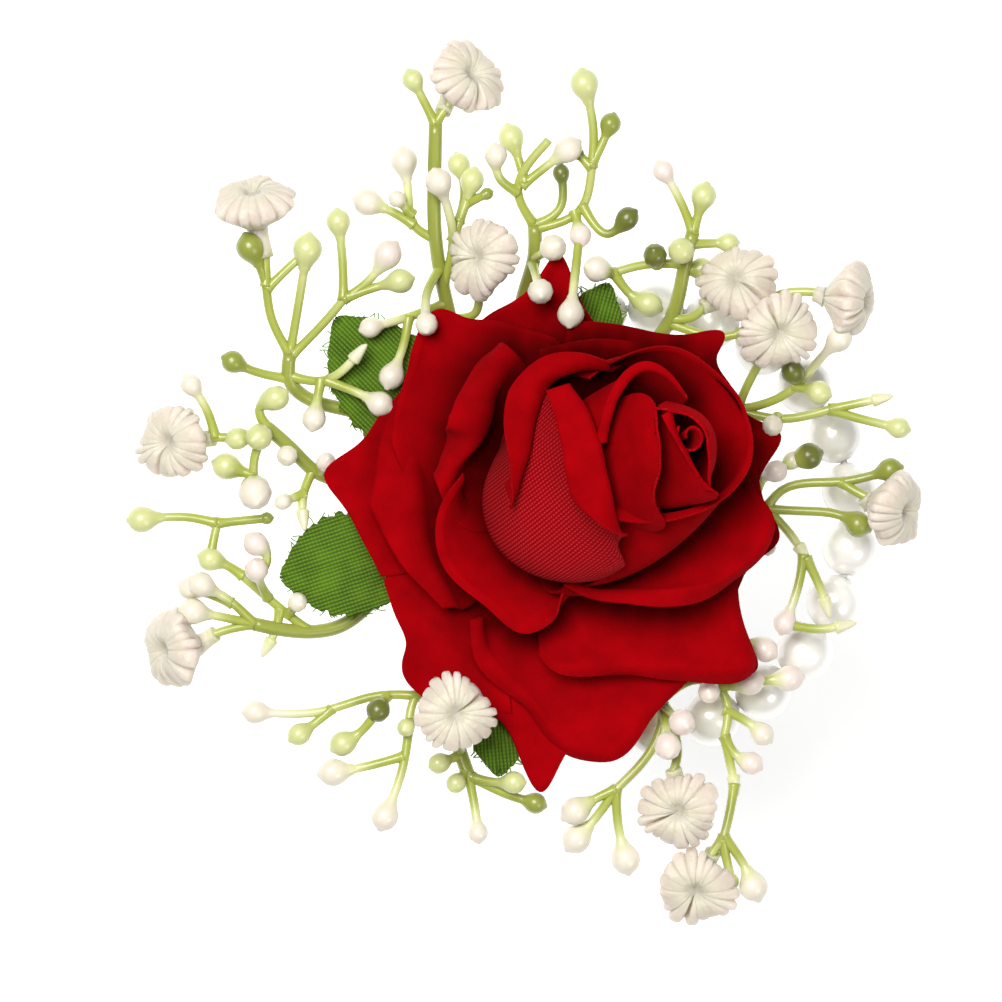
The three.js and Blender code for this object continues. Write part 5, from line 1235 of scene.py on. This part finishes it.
class CorsageGreens(bpy.types.PropertyGroup):
    """Sizes of the leaves, and colours of the leaves, sprigs and flower heads."""

    leaf_thickness: bpy.props.FloatProperty(
        name="Leaf thickness", description="Thickness of the leaf cloth", default=0.5 * MM,
        min=0.2 * MM, max=1.5 * MM, precision=5, unit="LENGTH")
    leaf_pitch: bpy.props.FloatProperty(
        name="Leaf weave", description="Distance between threads of the leaf cloth",
        default=0.51 * MM, min=0.2 * MM, max=2 * MM, precision=5, unit="LENGTH")
    leaf_turn: bpy.props.FloatProperty(
        name="Leaf weave turn", description="Angle of the twill ridges to the threads",
        default=TAU / 8, min=-TAU, max=TAU, subtype="ANGLE")
    leaf: bpy.props.FloatVectorProperty(
        name="Leaf", description="Colour of the leaf cloth", subtype="COLOR",
        default=(0.07, 0.14, 0.006), min=0, max=1)
    leaf_fray: bpy.props.FloatVectorProperty(
        name="Leaf fray", description="Colour of the frayed leaf edge", subtype="COLOR",
        default=(0.1, 0.19, 0.02), min=0, max=1)
    stem: bpy.props.FloatVectorProperty(
        name="Stem", description="Colour of the sprig stems", subtype="COLOR",
        default=(0.33, 0.37, 0.06), min=0, max=1)
    pale: bpy.props.FloatVectorProperty(
        name="Pale green", description="Colour of half ripe buds", subtype="COLOR",
        default=(0.58, 0.6, 0.28), min=0, max=1)
    cream: bpy.props.FloatVectorProperty(
        name="Cream", description="Colour of ripe buds", subtype="COLOR",
        default=(0.7, 0.65, 0.52), min=0, max=1)
    blush: bpy.props.FloatVectorProperty(
        name="Blush", description="Colour of the ripest buds", subtype="COLOR",
        default=(0.72, 0.62, 0.55), min=0, max=1)
    petal_white: bpy.props.FloatVectorProperty(
        name="Head white", description="Colour of the flower heads", subtype="COLOR",
        default=(0.61, 0.535, 0.455), min=0, max=1)


class CorsageBand(bpy.types.PropertyGroup):
    """Colours of the bracelet and the pad."""

    pearl: bpy.props.FloatVectorProperty(
        name="Pearl", description="Colour of the pearls", subtype="COLOR",
        default=(0.86, 0.84, 0.8), min=0, max=1)
    elastic: bpy.props.FloatVectorProperty(
        name="Elastic", description="Colour of the elastic cord", subtype="COLOR",
        default=(0.8, 0.79, 0.76), min=0, max=1)
    felt: bpy.props.FloatVectorProperty(
        name="Felt", description="Colour of the felt discs", subtype="COLOR",
        default=(0.05, 0.15, 0.045), min=0, max=1)
    glue: bpy.props.FloatVectorProperty(
        name="Glue", description="Colour of the hot glue", subtype="COLOR",
        default=(0.72, 0.68, 0.56), min=0, max=1)
    calyx: bpy.props.FloatVectorProperty(
        name="Calyx", description="Colour of the calyx and the core peg", subtype="COLOR",
        default=(0.11, 0.26, 0.04), min=0, max=1)


class CorsageStage(bpy.types.PropertyGroup):
    """Camera, floor and light."""

    camera_height: bpy.props.FloatProperty(
        name="Camera height", description="Height of the camera over the table",
        default=1.44, min=0.3, max=5, unit="LENGTH")
    frame_width: bpy.props.FloatProperty(
        name="Frame width", description="Width of the picture at the height of the bracelet",
        default=0.1411, min=0.05, max=1, unit="LENGTH")
    centre: bpy.props.FloatVectorProperty(
        name="Picture centre", description="Point under the camera", subtype="TRANSLATION",
        default=(0.00752, 0.00251, 0), unit="LENGTH")
    floor: bpy.props.FloatVectorProperty(
        name="Floor", description="Colour of the floor", subtype="COLOR",
        default=(0.9, 0.9, 0.9), min=0, max=1)
    floor_drop: bpy.props.FloatProperty(
        name="Floor drop", description="Room under the corsage for the bracelet to hang in",
        default=84 * MM, min=0, max=0.3, precision=4, unit="LENGTH")
    floor_glow: bpy.props.FloatProperty(
        name="Floor glow", description="Light of the backlit floor, which thins the shadows",
        default=0.53, min=0, max=2)


# Operators

class CORSAGE_OT_rose(bpy.types.Operator):
    """Build the five petal layers of the rose"""

    bl_idname = "corsage.rose"
    bl_label = "Rose"

    def execute(self, context):
        look = context.scene.corsage_rose
        cloth = look.cloth / MM
        finishes = [flannel_face(look), flannel_back(look), flannel_edge(look)]
        grids = [petal_grid(petal, i) for i, petals in enumerate(LAYERS) for petal in petals.values()]
        # painted shade in the folds, handed to each petal as its tone
        tones = iter(painted_shade_tones(grids))
        grids = iter(grids)
        for index, petals in enumerate(LAYERS):
            patches = [
                sheet(next(grids), cloth, petal.get("faces", (0, 0, 2)), next(tones))
                for petal in petals.values()]
            patches.append(collar(index, cloth))
            name = f"rose_layer_{index + 1}"
            made = piece(f"petals_{index + 1}", patches, finishes, FLOWER, [name])
        return {"FINISHED"}


class CORSAGE_OT_bud(bpy.types.Operator):
    """Build the rolled bud in the middle of the rose"""

    bl_idname = "corsage.bud"
    bl_label = "Rose bud"

    def execute(self, context):
        look = context.scene.corsage_rose
        cloth = look.cloth / MM
        finishes = [bpy.data.materials["flannel_face"], bpy.data.materials["flannel_edge"]]
        grids = [petal_grid(petal, BUD_LAYER) for petal in BUD.values()] + [coil_grid(BUD_COIL)]
        # painted shade in the folds, handed to each piece as its tone
        tones = painted_shade_tones(grids)
        patches = [sheet(grid, cloth, (0, 0, 1), tone) for grid, tone in zip(grids, tones)]
        patches.append(collar(BUD_LAYER, cloth))
        made = piece("bud", patches, finishes, FLOWER, ["rose_bud"])
        return {"FINISHED"}


class CORSAGE_OT_leaves(bpy.types.Operator):
    """Build the four cloth leaves"""

    bl_idname = "corsage.leaves"
    bl_label = "Leaves"

    def execute(self, context):
        look = context.scene.corsage_greens
        face = leaf_cloth(look, "leaf_face", look.leaf, spread=0.55)
        edge = leaf_cloth(look, "leaf_edge", look.leaf_fray, spread=0.25)
        for name, (tip, half) in LEAVES.items():
            grid, places = leaf_grid(tip, half)
            cloth = sheet(grid, look.leaf_thickness / MM, (0, 0, 1), places=places)
            patches = [cloth, *fray_patches(grid)]
            made = piece(f"cloth_{name}", patches, [face, edge], FLOWER, [name])
        return {"FINISHED"}


class CORSAGE_OT_sprigs(bpy.types.Operator):
    """Build the plastic sprigs with their buds"""

    bl_idname = "corsage.sprigs"
    bl_label = "Sprigs"

    def execute(self, context):
        finish = sprig_plastic(context.scene.corsage_greens)
        for name, sprig in SPRIGS.items():
            piece(f"stems_{name}", sprig_patches(sprig), [finish], FLOWER, [name])
        return {"FINISHED"}


class CORSAGE_OT_heads(bpy.types.Operator):
    """Build the white flower heads"""

    bl_idname = "corsage.heads"
    bl_label = "Flower heads"

    def execute(self, context):
        finish = head_plastic(context.scene.corsage_greens)
        for index, (middle, start) in enumerate(HEADS):
            name = f"head_{index + 1:02d}"
            patches = head_patches(middle, start, HEAD_FACES[index], index)
            piece(f"fingers_{name}", patches, [finish], FLOWER, [name])
        return {"FINISHED"}


class CORSAGE_OT_pad(bpy.types.Operator):
    """Build the felt discs, the hot glue, the core peg and the calyx"""

    bl_idname = "corsage.pad"
    bl_label = "Pad"

    def execute(self, context):
        look = context.scene.corsage_band
        felt = plain_finish("felt", look.felt, roughness=0.95, scale=2600, depth=0.0004, spread=0.35)
        green = plain_finish(
            "green_plastic", look.calyx, roughness=0.45, scale=900, depth=0.0001, spread=0.15)
        glue = glue_finish(look)
        puck_top = FELT_T + PUCK_T
        pad_top = puck_top + FELT_T
        for name, low, seed, node_name, below in (
            ("felt_low", 0, 0.4, "felt_backing", []),
            ("felt_high", puck_top, 1.7, "felt_top", ["glue_puck"]),
        ):
            made = piece(name, [pad_disc(low, low + FELT_T, seed)], [felt], FLOWER, [node_name])
        puck = glue_patch(PUCK_PROFILE, (PUCK_R, PUCK_T), FELT_T, (0, 0), PUCK_LUMPS, 0.8)
        piece("glue_low", [puck], [glue], FLOWER, ["glue_puck"])
        mound = glue_patch(MOUND_PROFILE, (1, MOUND_H), pad_top, MOUND, MOUND_LUMPS, 2.1)
        piece("glue_high", [mound], [glue], FLOWER, ["glue_mound"])
        piece("core_peg", [core_patch()], [green], FLOWER, ["rose_core"])
        piece("calyx_lobes", [calyx_patch()], [green], FLOWER, ["calyx"])
        return {"FINISHED"}


class CORSAGE_OT_bracelet(bpy.types.Operator):
    """Build the pearls and the elastic that carries them"""

    bl_idname = "corsage.bracelet"
    bl_label = "Bracelet"

    def execute(self, context):
        look = context.scene.corsage_band
        pearl = pearl_finish(look)
        elastic = plain_finish(
            "elastic", look.elastic, roughness=0.6, scale=1800, depth=0.0001, spread=0.06)
        piece("elastic_run", [chord_patch()], [elastic], BRACELET, ["elastic_cord"])
        for index in range(PEARL_COUNT):
            name = f"pearl_{index + 1:02d}"
            piece(f"ball_{index + 1:02d}", [pearl_patch(index)], [pearl], name, [name])
            piece(f"elastic_{index + 1:02d}", [cord_patch(index)], [elastic], name, ())
        return {"FINISHED"}


class CORSAGE_OT_stage(bpy.types.Operator):
    """Set up the pale floor, the soft light and the camera above"""

    bl_idname = "corsage.stage"
    bl_label = "Stage"

    def execute(self, context):
        look = context.scene.corsage_stage
        scene = context.scene
        corner = FLOOR_HALF * np.array([(-1, -1), (1, -1), (1, 1), (-1, 1)])
        mesh = bpy.data.meshes.new("floor")
        drop = np.full(4, -look.floor_drop)
        mesh.from_pydata(np.column_stack([corner, drop]).tolist(), [], [(0, 1, 2, 3)])
        floor = bpy.data.objects.new("floor", mesh)
        scene.collection.objects.link(floor)
        material, shader = new_material("pale_floor", look.floor, 0.9)
        shader.inputs["Emission Color"].default_value = (1, 1, 1, 1)
        shader.inputs["Emission Strength"].default_value = look.floor_glow
        mesh.materials.append(material)
        world = bpy.data.worlds.new("studio")
        world.use_nodes = True
        sky = world.node_tree.nodes["Background"]
        sky.inputs["Color"].default_value = (1, 1, 1, 1)
        sky.inputs["Strength"].default_value = ROOM_LIGHT
        scene.world = world
        for name, place, size, power in SOFT_BOXES:
            light = bpy.data.lights.new(name, "AREA")
            light.shape = "SQUARE"
            light.size = size
            light.energy = power
            lamp = bpy.data.objects.new(name, light)
            lamp.location = place
            lamp.rotation_mode = "QUATERNION"
            lamp.rotation_quaternion = lamp.location.to_track_quat("Z", "Y")
            scene.collection.objects.link(lamp)
        eye = bpy.data.cameras.new("camera")
        camera = bpy.data.objects.new("camera", eye)
        camera.location = (look.centre[0], look.centre[1], look.camera_height)
        eye.lens = eye.sensor_width * (look.camera_height - CORD_Z * MM) / look.frame_width
        eye.clip_start = 0.01
        eye.clip_end = 10
        scene.collection.objects.link(camera)
        scene.camera = camera
        scene.view_settings.view_transform = "Standard"
        return {"FINISHED"}


class CORSAGE_PT_panel(bpy.types.Panel):
    """Lists the builders and their settings"""

    bl_idname = "CORSAGE_PT_panel"
    bl_label = "Wrist corsage"
    bl_space_type = "VIEW_3D"
    bl_region_type = "UI"
    bl_category = "Corsage"

    def draw(self, context):
        for operator in OPERATORS:
            self.layout.operator(operator.bl_idname)
        for name, group in SETTINGS.items():
            box = self.layout.box()
            for key in group.__annotations__:
                box.prop(getattr(context.scene, name), key)


SETTINGS = {
    "corsage_rose": CorsageRose,
    "corsage_greens": CorsageGreens,
    "corsage_band": CorsageBand,
    "corsage_stage": CorsageStage,
}
OPERATORS = [
    CORSAGE_OT_stage, CORSAGE_OT_pad, CORSAGE_OT_bracelet, CORSAGE_OT_sprigs, CORSAGE_OT_heads,
    CORSAGE_OT_leaves, CORSAGE_OT_rose, CORSAGE_OT_bud,
]


def register():
    for group in [*SETTINGS.values(), *OPERATORS, CORSAGE_PT_panel]:
        bpy.utils.register_class(group)
    for name, group in SETTINGS.items():
        setattr(bpy.types.Scene, name, bpy.props.PointerProperty(type=group))


def unregister():
    for name in SETTINGS:
        delattr(bpy.types.Scene, name)
    for group in [CORSAGE_PT_panel, *reversed(OPERATORS), *SETTINGS.values()]:
        bpy.utils.unregister_class(group)


def main():
    register()
    for operator in OPERATORS:
        group, name = operator.bl_idname.split(".")
        getattr(getattr(bpy.ops, group), name)()


if __name__ == "__main__":
    main()
